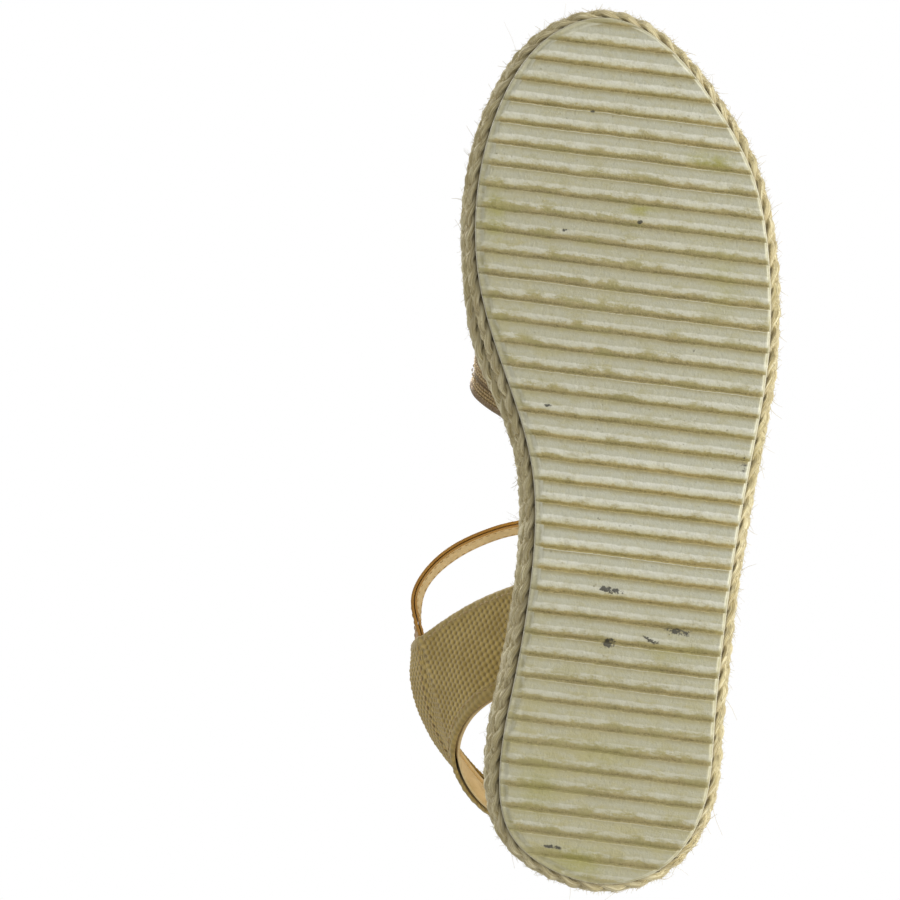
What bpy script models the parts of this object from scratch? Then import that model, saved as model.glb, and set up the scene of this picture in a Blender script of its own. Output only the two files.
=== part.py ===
"""Left espadrille wedge sandal: ribbed outsole, braided jute sides, knitted vamp band,
canvas heel sling and a leather ankle strap with its buckle.

Units are metres, +Z is up, the tread stands on z = 0 and the toe points along -Y.
The inner (medial) side of the foot is -X. The origin is the centre of the tread.
"""
import functools
import math

import bmesh
import bpy
import numpy as np
from mathutils import Matrix, Vector

MM = 0.001
GAP = 0.3 * MM

# Outline of the tread, anticlockwise from the toe tip, through the outer side and the heel.
SOLE_OUTLINE = np.array([
    (0, -129), (17, -121.5), (32, -104), (43.3, -83.5), (48.6, -57), (48.4, -27), (43.5, 2), (38.5, 30),
    (35, 56), (32.3, 83), (28.2, 109), (16.5, 124.3), (1, 129), (-15.5, 125), (-28.2, 114.5), (-31.6, 94),
    (-27.2, 68), (-22.3, 38), (-22.2, 4), (-30, -23), (-37.5, -49), (-38.2, -78), (-31.2, -104), (-16, -124),
]) * MM

# Heights of the platform.
OUTSOLE_THICKNESS = 5.0 * MM
ROW_PITCH = 8.0 * MM
FULL_ROWS = 3
HEEL_ROWS = 2
DECK_FOREFOOT = OUTSOLE_THICKNESS + FULL_ROWS * ROW_PITCH
DECK_HEEL = DECK_FOREFOOT + HEEL_ROWS * ROW_PITCH
DECK_RISE = (-50 * MM, 80 * MM)

# Ribs across the tread.
RIB_PITCH = 6.52 * MM
RIB_LAND = 3.7 * MM
RIB_STEP = 0.7 * MM
RIB_DEPTH = 1.6 * MM
RIB_SLANT = math.radians(7.1)
RIB_COUNT = 44
OUTSOLE_STATIONS = 120

# Braided sides: how far a row stands inside and outside the tread's outline.
ROW_INNER = -3.0 * MM
ROW_OUTER = 2.8 * MM
ROW_ROUND = 1.9 * MM
ROW_ROUND_SHARE = 0.35
ROW_STATIONS = 80
SHORTEST_ROW = 2.4 * MM

# Layers that the foot stands on, each as (bottom, top) above the deck.
BOARD_LAYER = (0.2 * MM, 1.8 * MM)
FOAM_LAYER = (2.1 * MM, 4.6 * MM)
SOCK_LAYER = (4.9 * MM, 5.9 * MM)
BOARD_OUTSET = -1.2 * MM
FOAM_OUTSET = -2.0 * MM
CORE_OUTSET = ROW_INNER - 1.2 * MM
LAYER_STATIONS = 34
LAYER_END = 0.03

# Vamp band: where its edges meet the inner side, the crown and the outer side, and its height.
VAMP_FRONT = (-80 * MM, -88 * MM, -76 * MM)
VAMP_REAR = (-10 * MM, -38 * MM, -14 * MM)
VAMP_HEIGHT = (32 * MM, 50 * MM)
VAMP_FOOT_OUTSET = -0.6 * MM
VAMP_INNER_BULGE = (5 * MM, 12 * MM)
VAMP_OUTER_BULGE = 3 * MM
VAMP_FOOT_RISE = 0.8 * MM
VAMP_BULGE_REACH = 0.42
VAMP_CROWN_PULL = 1.6
VAMP_ARCH_ROUND = 0.75
VAMP_COLUMNS = 19
VAMP_ROWS = 7
VAMP_LAYERS = {
    "vamp_lining": (0.0, 0.7 * MM),
    "vamp_backer": (1.0 * MM, 1.5 * MM),
    "vamp_outer": (1.8 * MM, 2.8 * MM),
}

# Ankle loop: the strap's centre line, from the inner mouth of the sling round the front of the
# ankle to the outer mouth and back round the heel, with how far its top leans in X and Y.
LOOP_POINTS = np.array([
    (-56.3, 62, 99.5), (-57, 47.5, 103), (-48.5, 35.8, 104), (-36, 28.7, 104), (-19, 24.8, 104),
    (-8, 27, 104), (1.5, 34.5, 104), (7, 48, 103), (8, 61, 99.5), (8, 72, 98), (6.5, 84, 98.5),
    (1, 98, 100), (-10, 110.5, 102), (-26.7, 115.5, 103), (-42, 104, 100.5), (-51.5, 89, 98),
    (-55.6, 74, 97.5),
]) * MM
LOOP_LEAN = np.array([
    (-0.15, 0.15), (0.2, 0.02), (0.2, 0.21), (0.1, 0.27), (0, 0.29), (-0.08, 0.27),
    (-0.2, 0.21), (-0.3, 0.05), (-0.4, 0.1), (-0.46, 0.05), (-0.46, -0.03), (-0.45, -0.12), (-0.42, -0.25),
    (-0.36, -0.3), (-0.3, -0.18), (-0.31, -0.03), (-0.33, 0.05),
])
OUTER_MOUTH = 8
STRAP_WIDTH = 11.5 * MM
LEATHER = (0.0, 1.0 * MM)
LEATHER_LINING = (-1.0 * MM, -0.3 * MM)
SWING_GAP = 3.2 * MM

# Canvas heel sling.
SLING_ANCHOR = (41 * MM, 76 * MM)
SLING_FOOT_OUTSET = 0.6 * MM
SLING_FOOT_RISE = (0.5 * MM, 8.0 * MM)
SLING_BAND = 7.2 * MM
SLING_HEM = np.array([
    (-36, 80, 58), (-42.5, 88, 66), (-44.5, 97, 71), (-41.5, 107, 75), (-33.5, 116, 78), (-19, 121, 79.5),
    (-5, 117.5, 78), (5, 107.5, 75), (13.5, 97, 70), (21, 87, 63), (28, 80, 56),
]) * MM
CANVAS = 1.2 * MM
SLING_LINING = 0.9 * MM
TUNNEL_HALF = 1.6 * MM
SEAM_HALF = 0.25 * MM
TUNNEL_COLUMNS = 26
WING_COLUMNS = 5
PANEL_ROWS = 6

# Buckle, measured along the strap from the buckle's bar, which is this far before the outer mouth.
BAR_BEFORE_MOUTH = 32 * MM
BAR_LIFT = 0.3 * MM
WIRE = 1.0 * MM
FRAME_LENGTH = 11 * MM
FRAME_HALF_WIDTH = 7.3 * MM
FRAME_END_LIFT = 2.45 * MM
PRONG_WIRE = 0.75 * MM
HOLE_BEFORE_BAR = 2.9 * MM
HOLE_PITCH = 7.0 * MM
HOLE_RADIUS = 1.6 * MM
HOLES_EACH_WAY = 2
TIP_AFTER_BAR = 26 * MM
TIP_TAPER = 5 * MM
TIP_BLUNT = 0.25
KEEPER_WIDTH = 4.0 * MM
KEEPER_WALL = 0.9 * MM
KEEPER_FLOOR = -1.0 * MM
FIXED_KEEPER_CLEARANCE = 0.35 * MM
SLIDING_KEEPER_CLEARANCE = 0.6 * MM
FIXED_KEEPER_AT = 8.5 * MM
SLIDING_KEEPER_AT = 18.0 * MM

# Side views along the strap from the bar: distance past the bar, then height off the ankle line.
BILLET_PATH = np.array([(-10.2, 0), (-9, 0.5), (-6, 2.7), (-3, 4.2), (0, 4.4), (3, 3.5), (6, 2.5)]) * MM
TURNED_END = np.array([(2.6, -0.75), (5.2, -0.4)]) * MM
PRONG_SLOT = np.array([(-4, -3), (3.4, -3), (3.4, 3), (-4, 3)]) * MM
PRONG_SLOT_HALF_WIDTH = 1.3 * MM
PRONG_REACH = np.array([
    (-2.4, 2.4), (-2.9, 4.4), (-4.0, 6.0), (-6.5, 6.2), (-9.5, 5.0), (-12.6, 4.2),
]) * MM
LINING_AFTER_BAR = 6.5 * MM


def cubic_through(points, closed, lengths_from):
    """Dense samples of a cubic spline through the points; the knots' rows are returned as well."""
    knots = np.vstack([points, points[:1]]) if closed else np.array(points, float)
    at = np.concatenate([[0], np.cumsum(np.linalg.norm(np.diff(knots[:, :lengths_from], axis=0), axis=1))])
    step = np.diff(at)
    last = len(step)
    system = np.zeros((last + 1, last + 1))
    pull = np.zeros_like(knots)
    for i in range(1, last):
        system[i, i - 1:i + 2] = step[i - 1], 2 * (step[i - 1] + step[i]), step[i]
        pull[i] = 6 * ((knots[i + 1] - knots[i]) / step[i] - (knots[i] - knots[i - 1]) / step[i - 1])
    if closed:
        system[0, 0], system[0, last] = 1, -1
        system[last, 0] += 2 * step[0]
        system[last, 1] += step[0]
        system[last, last - 1] += step[-1]
        system[last, last] += 2 * step[-1]
        pull[last] = 6 * ((knots[1] - knots[0]) / step[0] - (knots[0] - knots[-2]) / step[-1])
    else:
        system[0, 0] = system[last, last] = 1
    bend = np.linalg.solve(system, pull)
    samples = []
    per_span = 40
    for i, h in enumerate(step):
        for t in np.linspace(0, h, per_span, endpoint=False):
            u = h - t
            cubic = (bend[i] * u ** 3 + bend[i + 1] * t ** 3) / (6 * h)
            before = (knots[i] / h - bend[i] * h / 6) * u
            after = (knots[i + 1] / h - bend[i + 1] * h / 6) * t
            samples.append(cubic + before + after)
    samples.append(knots[-1])
    return np.array(samples), np.arange(last + 1) * per_span


def even_curve(points, count, closed=False):
    """Points spaced evenly along a smooth curve; a closed curve doesn't repeat its first point."""
    dense, _ = cubic_through(points, closed, len(points[0]))
    at = np.concatenate([[0], np.cumsum(np.linalg.norm(np.diff(dense, axis=0), axis=1))])
    want = np.linspace(0, at[-1], count, endpoint=not closed)
    return np.column_stack([np.interp(want, at, column) for column in dense.T])


def unit(vectors):
    return vectors / np.linalg.norm(vectors, axis=-1, keepdims=True)


@functools.cache
def outline(outset, count=480):
    """The sole's outline, moved outwards by outset."""
    loop = even_curve(SOLE_OUTLINE, count, closed=True)
    ahead = unit(np.roll(loop, -1, axis=0) - np.roll(loop, 1, axis=0))
    return loop + outset * np.column_stack([ahead[:, 1], -ahead[:, 0]])


def side_x(y, outset, inner):
    """X of the outline's inner or outer side at y."""
    loop = outline(outset)
    toe, heel = loop[:, 1].argmin(), loop[:, 1].argmax()
    outer_side = loop[toe:heel + 1] if toe < heel else np.vstack([loop[toe:], loop[:heel + 1]])
    inner_side = np.vstack([loop[heel:], loop[:toe + 1]]) if toe < heel else loop[heel:toe + 1]
    side = inner_side[::-1] if inner else outer_side
    return np.interp(y, side[:, 1], side[:, 0])


def ease(value):
    """0 to 1 with level ends."""
    t = np.clip(value, 0, 1)
    return t * t * (3 - 2 * t)


def deck(y):
    """Height of the wedge's top face at y."""
    low, high = DECK_RISE
    return DECK_FOREFOOT + (DECK_HEEL - DECK_FOREFOOT) * ease((y - low) / (high - low))


def clear_scene():
    for thing in list(bpy.data.objects):
        bpy.data.objects.remove(thing, do_unlink=True)


def new_collection(name):
    group = bpy.data.collections.new(name)
    bpy.context.scene.collection.children.link(group)
    return group


def make_material(name, colour, roughness, metallic=0.0):
    material = bpy.data.materials.new(name)
    material.use_nodes = True
    shader = material.node_tree.nodes["Principled BSDF"]
    shader.inputs["Base Color"].default_value = (*colour, 1)
    shader.inputs["Roughness"].default_value = roughness
    shader.inputs["Metallic"].default_value = metallic
    material.diffuse_color = (*colour, 1)
    return material


def add_mesh(name, bm, material, group, origin=(0, 0, 0)):
    """Turn a bmesh into a named object whose origin is at the given point."""
    bmesh.ops.translate(bm, verts=bm.verts, vec=-Vector(origin))
    mesh = bpy.data.meshes.new(name)
    bm.to_mesh(mesh)
    bm.free()
    thing = bpy.data.objects.new(name, mesh)
    thing.location = origin
    group.objects.link(thing)
    if material:
        mesh.materials.append(material)
        mesh.shade_smooth()
        mesh.set_sharp_from_angle(angle=math.radians(35))
    return thing


def loft(rings, closed=False):
    """Skin a row of rings of equal count; an open row gets end faces."""
    bm = bmesh.new()
    rows = [[bm.verts.new(point) for point in ring] for ring in rings]
    pairs = list(zip(rows, rows[1:])) + ([(rows[-1], rows[0])] if closed else [])
    for first, second in pairs:
        for i in range(len(first)):
            j = (i + 1) % len(first)
            bm.faces.new((first[i], first[j], second[j], second[i]))
    if not closed:
        bm.faces.new(rows[0])
        bm.faces.new(rows[-1])
    bmesh.ops.recalc_face_normals(bm, faces=bm.faces)
    return bm


def prism(points, low, high):
    """A flat outline pulled up from z = low to z = high."""
    bm = bmesh.new()
    face = bm.faces.new([bm.verts.new((x, y, low)) for x, y in points])
    pulled = bmesh.ops.extrude_face_region(bm, geom=[face])["geom"]
    top = [element for element in pulled if isinstance(element, bmesh.types.BMVert)]
    bmesh.ops.translate(bm, verts=top, vec=(0, 0, high - low))
    bmesh.ops.recalc_face_normals(bm, faces=bm.faces)
    return bm


def cut(thing, cutter, name):
    modifier = thing.modifiers.new(name, "BOOLEAN")
    modifier.operation = "DIFFERENCE"
    modifier.solver = "EXACT"
    modifier.object = cutter
    cutter.hide_render = True
    cutter.display_type = "WIRE"


def solidify(thing, thickness):
    modifier = thing.modifiers.new("thickness", "SOLIDIFY")
    modifier.thickness = thickness
    modifier.offset = 1.0
    modifier.use_even_offset = False


def rib_profile():
    """The cutter's upper side across the ribs: land, slope to the valley, steep step to the next land."""
    profile = []
    for k in range(-RIB_COUNT // 2, RIB_COUNT // 2 + 1):
        start = k * RIB_PITCH - RIB_LAND / 2
        profile += [(start, 0), (start + RIB_LAND, 0), (start + RIB_PITCH - RIB_STEP, RIB_DEPTH)]
    return profile


def make_outsole(material, group, cutters):
    block = prism(outline(0, OUTSOLE_STATIONS), 0, OUTSOLE_THICKNESS - GAP)
    sole = add_mesh("outsole", block, material, group)
    half_length = 70 * MM
    below = 4 * MM
    profile = rib_profile()
    profile += [(profile[-1][0], -below), (profile[0][0], -below)]
    bm = loft([[(x, y, z) for y, z in profile] for x in (-half_length, half_length)])
    bmesh.ops.rotate(bm, verts=bm.verts, cent=(0, 0, 0), matrix=Matrix.Rotation(RIB_SLANT, 3, "Z"))
    bmesh.ops.triangulate(bm, faces=[face for face in bm.faces if len(face.verts) > 4])
    cutter = add_mesh("rib_cutter", bm, None, cutters)
    cut(sole, cutter, "ribs")


def make_layer(name, outset, heights, material, group):
    """A full-length layer of the sole; heights gives its bottom and top at y."""
    loop = outline(outset)
    front, back = loop[:, 1].min(), loop[:, 1].max()
    turn = np.linspace(LAYER_END, 1 - LAYER_END, LAYER_STATIONS) * math.pi
    rings = []
    for y in (front + back) / 2 - (back - front) / 2 * np.cos(turn):
        inner, outer = side_x(y, outset, True), side_x(y, outset, False)
        low, high = heights(y)
        rings.append([(inner, y, low), (outer, y, low), (outer, y, high), (inner, y, high)])
    add_mesh(name, loft(rings), material, group)


def above_deck(layer):
    """The bottom and top of a layer that lies on the deck, as a function of y."""
    return lambda y: (deck(y) + layer[0], deck(y) + layer[1])


def make_wedge_core(material, group):
    def heights(y):
        return OUTSOLE_THICKNESS + GAP / 2, deck(y) - GAP / 2

    make_layer("wedge_core", CORE_OUTSET, heights, material, group)


def row_section(base, outward, low, high):
    """Cross-section of a braided row at one place: flat inside, rounded outside."""
    round_off = min(ROW_ROUND, ROW_ROUND_SHARE * (high - low))
    section = [
        (ROW_INNER, low), (ROW_INNER, high), (ROW_OUTER - round_off, high), (ROW_OUTER, high - round_off),
        (ROW_OUTER, low + round_off), (ROW_OUTER - round_off, low),
    ]
    return [(base[0] + reach * outward[0], base[1] + reach * outward[1], z) for reach, z in section]


def make_braid_rows(material, group):
    loop = outline(0, ROW_STATIONS)
    ahead = unit(np.roll(loop, -1, axis=0) - np.roll(loop, 1, axis=0))
    outward = np.column_stack([ahead[:, 1], -ahead[:, 0]])
    for row in range(FULL_ROWS):
        low = OUTSOLE_THICKNESS + row * ROW_PITCH + GAP / 2
        high = low + ROW_PITCH - GAP
        rings = [row_section(base, away, low, high) for base, away in zip(loop, outward)]
        add_mesh(f"braid_row_{row + 1}", loft(rings, closed=True), material, group)
    for row in range(HEEL_ROWS):
        low = DECK_FOREFOOT + row * ROW_PITCH + GAP / 2
        rings = []
        for base, away in zip(loop, outward):
            high = min(low + ROW_PITCH - GAP, deck(base[1]) - GAP / 2)
            if high - low > SHORTEST_ROW:
                rings.append(row_section(base, away, low, high))
        add_mesh(f"braid_heel_row_{row + 1}", loft(rings), material, group)


def shell_from_grid(bm, name, start, thickness, material, group):
    """Close an open surface into a shell that starts at a distance along its normals."""
    bm.normal_update()
    for vertex, normal in [(v, v.normal.copy()) for v in bm.verts]:
        vertex.co += normal * start(vertex)
    thing = add_mesh(name, bm, material, group)
    solidify(thing, thickness)


def grid_faces(bm, grid):
    """Fill a grid of points with four-sided faces."""
    rows = [[bm.verts.new(point) for point in row] for row in grid]
    for first, second in zip(rows, rows[1:]):
        for i in range(len(first) - 1):
            bm.faces.new((first[i], first[i + 1], second[i + 1], second[i]))


def vamp_point(across, along):
    """A point of the band's inner face: across runs from the inner side, along from the front edge."""
    front, rear = VAMP_FRONT, VAMP_REAR
    inner_y, crown_y, outer_y = (a + (b - a) * along for a, b in zip(front, rear))
    arch = math.sin(math.pi * across)
    side_y = inner_y + (outer_y - inner_y) * ease(across)
    y = side_y + (crown_y - side_y) * arch ** VAMP_CROWN_PULL
    inner_x = side_x(inner_y, VAMP_FOOT_OUTSET, True)
    outer_x = side_x(outer_y, VAMP_FOOT_OUTSET, False)
    foot_z = deck(inner_y) + (deck(outer_y) - deck(inner_y)) * across + VAMP_FOOT_RISE
    height = VAMP_HEIGHT[0] + (VAMP_HEIGHT[1] - VAMP_HEIGHT[0]) * along
    x = inner_x + (outer_x - inner_x) * (1 - math.cos(math.pi * across)) / 2
    inner_bulge = VAMP_INNER_BULGE[0] + (VAMP_INNER_BULGE[1] - VAMP_INNER_BULGE[0]) * along ** 2
    x -= inner_bulge * math.sin(math.pi * min(across / VAMP_BULGE_REACH, 1)) ** 2
    x += VAMP_OUTER_BULGE * math.sin(math.pi * min((1 - across) / VAMP_BULGE_REACH, 1)) ** 2
    return x, y, foot_z + height * arch ** VAMP_ARCH_ROUND


def make_vamp(materials, group):
    even = np.linspace(0, 1, VAMP_COLUMNS)
    closer_at_ends = (1 - np.cos(math.pi * even)) / 2
    across = closer_at_ends * 0.35 + even * 0.65
    along = np.linspace(0, 1, VAMP_ROWS)
    for name, (start, end) in VAMP_LAYERS.items():
        bm = bmesh.new()
        grid_faces(bm, [[vamp_point(a, b) for a in across] for b in along])
        shell_from_grid(bm, name, lambda _, start=start: start, end - start, materials[name], group)


class AnkleLoop:
    """The strap's closed centre line with its local directions, read by distance along it."""

    def __init__(self):
        dense, knots = cubic_through(np.hstack([LOOP_POINTS, LOOP_LEAN]), True, 3)
        self.centre = dense[:, :3]
        self.at = np.concatenate([[0], np.cumsum(np.linalg.norm(np.diff(self.centre, axis=0), axis=1))])
        ahead = unit(np.gradient(self.centre, axis=0))
        lean = np.column_stack([dense[:, 3:], np.ones(len(dense))])
        self.wide = unit(lean - ahead * np.sum(lean * ahead, axis=1, keepdims=True))
        self.ahead = ahead
        self.outward = np.cross(ahead, self.wide)
        self.mouth = self.at[knots[OUTER_MOUTH]]
        self.bar = self.mouth - BAR_BEFORE_MOUTH
        self.length = self.at[-1]

    def read(self, table, distance):
        return np.array([np.interp(distance % self.length, self.at, column) for column in table.T])

    def point(self, distance, across=0.0, lift=0.0):
        """A point on the strap: across is along its width, lift is away from the ankle."""
        place = self.read(self.centre, distance)
        return place + across * self.read(self.wide, distance) + lift * self.read(self.outward, distance)


def make_strap(loop, name, distances, lifts, layer, material, group, origin, widths=None):
    """A flat strap that follows the ankle loop; widths narrows it at given stations."""
    bm = bmesh.new()
    if widths is None:
        widths = np.ones(len(distances))
    rows = []
    for distance, lift, width in zip(distances, lifts, widths):
        half = width * STRAP_WIDTH / 2
        rows.append([loop.point(distance, side * half, lift + layer[0]) for side in (-1, 1)])
    grid_faces(bm, rows)
    bm.normal_update()
    bm.faces.ensure_lookup_table()
    if bm.faces[0].normal.dot(Vector(loop.read(loop.outward, distances[0]))) < 0:
        bmesh.ops.reverse_faces(bm, faces=bm.faces)
    thing = add_mesh(name, bm, material, group, origin)
    solidify(thing, layer[1] - layer[0])
    return thing


def billet_lift(after_bar):
    """How far the billet's middle stands off the ankle line, by distance past the buckle's bar."""
    return np.interp(after_bar, BILLET_PATH[:, 0], BILLET_PATH[:, 1])


def make_hole_cutter(loop, number, cutters):
    """A round punch through the billet; number 0 is the hole that the prong is in."""
    at = loop.bar - HOLE_BEFORE_BAR + number * HOLE_PITCH
    bm = bmesh.new()
    bmesh.ops.create_cone(
        bm, cap_ends=True, segments=12, radius1=HOLE_RADIUS, radius2=HOLE_RADIUS, depth=5 * MM)
    turn = Vector(loop.read(loop.outward, at)).to_track_quat("Z", "Y").to_matrix()
    bmesh.ops.rotate(bm, verts=bm.verts, cent=(0, 0, 0), matrix=turn)
    place = loop.point(at, 0, billet_lift(at - loop.bar))
    bmesh.ops.translate(bm, verts=bm.verts, vec=Vector(place))
    return add_mesh(f"hole_cutter_{number + HOLES_EACH_WAY + 1}", bm, None, cutters)


def make_billet(loop, materials, group, cutters, origin):
    """The long end of the strap: it passes through the buckle and both keepers."""
    tip = loop.bar + TIP_AFTER_BAR
    steps = np.concatenate([
        np.linspace(SWING_GAP, loop.bar - 14 * MM, 14),
        np.linspace(loop.bar - 11.5 * MM, loop.bar + 6 * MM, 15),
        np.linspace(loop.bar + 9 * MM, tip, 8),
    ])
    lifts = billet_lift(steps - loop.bar)
    widths = np.sqrt(np.clip((tip - steps) / TIP_TAPER, TIP_BLUNT, 1))
    numbers = range(-HOLES_EACH_WAY, HOLES_EACH_WAY + 1)
    holes = [make_hole_cutter(loop, number, cutters) for number in numbers]
    for name, layer in (("billet_outer", LEATHER), ("billet_lining", LEATHER_LINING)):
        thing = make_strap(loop, name, steps, lifts, layer, materials[name], group, origin, widths)
        for hole in holes:
            cut(thing, hole, hole.name)


def make_buckle_strap(loop, materials, group, cutters, origin):
    """The short end that carries the buckle: it runs to the bar, wraps round it and is turned back."""
    reach = WIRE + GAP
    end = loop.mouth - SWING_GAP - loop.bar
    flat = np.linspace(end, 5.8 * MM, 11)
    turn = np.radians(np.linspace(75, 285, 8))
    inner_face = np.vstack([
        np.column_stack([flat, np.zeros(len(flat))]),
        np.column_stack([reach * np.cos(turn), BAR_LIFT + reach * np.sin(turn)]),
        TURNED_END,
    ])
    ahead = unit(np.gradient(inner_face, axis=0))
    outer_face = inner_face + LEATHER[1] * np.column_stack([ahead[:, 1], -ahead[:, 0]])
    half = STRAP_WIDTH / 2
    rings = []
    for near, far in zip(inner_face, outer_face):
        corners = ((near, -half), (near, half), (far, half), (far, -half))
        rings.append([loop.point(loop.bar + place[0], across, place[1]) for place, across in corners])
    thing = add_mesh("buckle_strap_outer", loft(rings), materials["buckle_strap_outer"], group, origin)
    sides = (-PRONG_SLOT_HALF_WIDTH, PRONG_SLOT_HALF_WIDTH)
    slot = loft([[loop.point(loop.bar + s, side, lift) for s, lift in PRONG_SLOT] for side in sides])
    cut(thing, add_mesh("prong_slot_cutter", slot, None, cutters), "prong_slot")
    steps = np.linspace(loop.bar + LINING_AFTER_BAR, loop.bar + end, 11)
    make_strap(loop, "buckle_strap_lining", steps, np.zeros(len(steps)), LEATHER_LINING,
               materials["buckle_strap_lining"], group, origin)


def tube(name, points, radius, closed, material, group, origin):
    """A wire through the points, turned into a mesh with its end caps welded."""
    curve = bpy.data.curves.new(name, "CURVE")
    curve.dimensions = "3D"
    curve.bevel_depth = radius
    curve.bevel_resolution = 1
    curve.use_fill_caps = True
    spline = curve.splines.new("POLY")
    spline.points.add(len(points) - 1)
    for knot, point in zip(spline.points, points):
        knot.co = (*(np.array(point) - np.array(origin)), 1)
    spline.use_cyclic_u = closed
    guide = bpy.data.objects.new(f"{name}_guide", curve)
    group.objects.link(guide)
    bpy.context.view_layer.update()
    mesh = bpy.data.meshes.new_from_object(guide.evaluated_get(bpy.context.evaluated_depsgraph_get()))
    mesh.name = name
    bpy.data.objects.remove(guide, do_unlink=True)
    bm = bmesh.new()
    bm.from_mesh(mesh)
    bmesh.ops.remove_doubles(bm, verts=bm.verts, dist=0.00001)
    bmesh.ops.recalc_face_normals(bm, faces=bm.faces)
    bmesh.ops.translate(bm, verts=bm.verts, vec=Vector(origin))
    bpy.data.meshes.remove(mesh)
    return add_mesh(name, bm, material, group, origin)


def make_buckle_frame(loop, material, group, origin):
    """A rounded rectangle of wire; its rear side is the bar that the strap wraps round."""
    corner = 2.0 * MM
    points = []
    corners = ((-FRAME_LENGTH, -1, 270), (-FRAME_LENGTH, 1, 180), (0, 1, 90), (0, -1, 0))
    for place, side, first in corners:
        middle = place + (corner if place < 0 else -corner)
        for angle in np.linspace(first, first - 90, 4):
            turn = math.radians(angle)
            s = middle + corner * math.cos(turn)
            across = side * (FRAME_HALF_WIDTH - corner) + corner * math.sin(turn)
            lift = BAR_LIFT + (FRAME_END_LIFT - BAR_LIFT) * (-s / FRAME_LENGTH)
            points.append(loop.point(loop.bar + s, across, lift))
    tube("buckle_frame", points, WIRE, True, material, group, origin)


def make_buckle_prong(loop, material, group, origin):
    """A hook round the bar that runs up through the billet's hole and on to the frame's front."""
    hook = WIRE + GAP + PRONG_WIRE
    turn = np.radians(np.linspace(-110, 150, 10))
    curl = np.column_stack([hook * np.cos(turn), BAR_LIFT + hook * np.sin(turn)])
    points = [loop.point(loop.bar + s, 0, lift) for s, lift in np.vstack([curl, PRONG_REACH])]
    tube("buckle_prong", points, PRONG_WIRE, False, material, group, origin)


def make_keeper(loop, name, after_bar, clearance, material, group, origin):
    """A leather band round the billet and the buckle strap."""
    half = STRAP_WIDTH / 2 + clearance
    low = KEEPER_FLOOR - clearance
    high = billet_lift(after_bar) + LEATHER[1] + clearance
    rings = []
    for end, wall in ((-1, 0), (-1, KEEPER_WALL), (1, KEEPER_WALL), (1, 0)):
        place = loop.bar + after_bar + end * KEEPER_WIDTH / 2
        left, right = -half - wall, half + wall
        bottom, top = low - wall, high + wall
        corners = ((left, bottom), (right, bottom), (right, top), (left, top))
        rings.append([loop.point(place, across, lift) for across, lift in corners])
    add_mesh(name, loft(rings, closed=True), material, group, origin)


def sling_surface(loop):
    """The sling's middle surface as an open mesh, with the distances along the tunnel marked."""
    stations = np.linspace(loop.mouth, loop.length, TUNNEL_COLUMNS)[::-1]
    band_top = [loop.point(s, SLING_BAND, 0) for s in stations]
    band_middle = [loop.point(s, 0, 0) for s in stations]
    band_low = [loop.point(s, -SLING_BAND, 0) for s in stations]
    feet = {}
    for inner in (True, False):
        for rise in SLING_FOOT_RISE:
            line = []
            for y in np.linspace(*SLING_ANCHOR, PANEL_ROWS + 1):
                line.append((side_x(y, SLING_FOOT_OUTSET, inner), y, deck(y) + rise))
            feet[inner, rise] = np.array(line)
    high = SLING_FOOT_RISE[1]
    hem_path = np.vstack([feet[True, high][-1], SLING_HEM, feet[False, high][-1]])
    wing = np.linspace(0, 1, WING_COLUMNS + 1)[1:-1, None]
    inner_edge = feet[True, high][0] + (band_low[0] - feet[True, high][0]) * wing
    outer_edge = feet[False, high][0] + (band_low[-1] - feet[False, high][0]) * wing
    top_edge = np.vstack([inner_edge, band_low, outer_edge[::-1]])
    hem = even_curve(hem_path, len(top_edge) + 2)[1:-1]
    columns = [feet[True, SLING_FOOT_RISE[0]], feet[True, high]]
    for upper, lower in zip(top_edge, hem):
        columns.append([upper + (lower - upper) * v for v in np.linspace(0, 1, PANEL_ROWS + 1)])
    columns += [feet[False, high], feet[False, SLING_FOOT_RISE[0]]]
    bm = bmesh.new()
    grid_faces(bm, columns)
    grid_faces(bm, [list(column) for column in zip(band_top, band_middle, band_low)])
    bmesh.ops.remove_doubles(bm, verts=bm.verts, dist=0.00001)
    bmesh.ops.recalc_face_normals(bm, faces=bm.faces)
    bm.normal_update()
    centre = Vector(loop.centre.mean(axis=0))
    top = min(bm.verts, key=lambda v: (v.co - Vector(band_middle[0])).length)
    if top.normal.dot(top.co - centre) < 0:
        bmesh.ops.reverse_faces(bm, faces=bm.faces)
    tunnel = {tuple(np.round(point, 6)) for point in band_top + band_middle + band_low}
    return bm, tunnel


def make_sling(loop, materials, group):
    for name, side in (("sling_outer", 1), ("sling_lining", -1)):
        bm, tunnel = sling_surface(loop)
        thickness = CANVAS if side > 0 else SLING_LINING

        def start(vertex, tunnel=tunnel, side=side, thickness=thickness):
            half = TUNNEL_HALF if tuple(np.round(vertex.co, 6)) in tunnel else SEAM_HALF
            return half if side > 0 else -half - thickness

        shell_from_grid(bm, name, start, thickness, materials[name], group)


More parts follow.
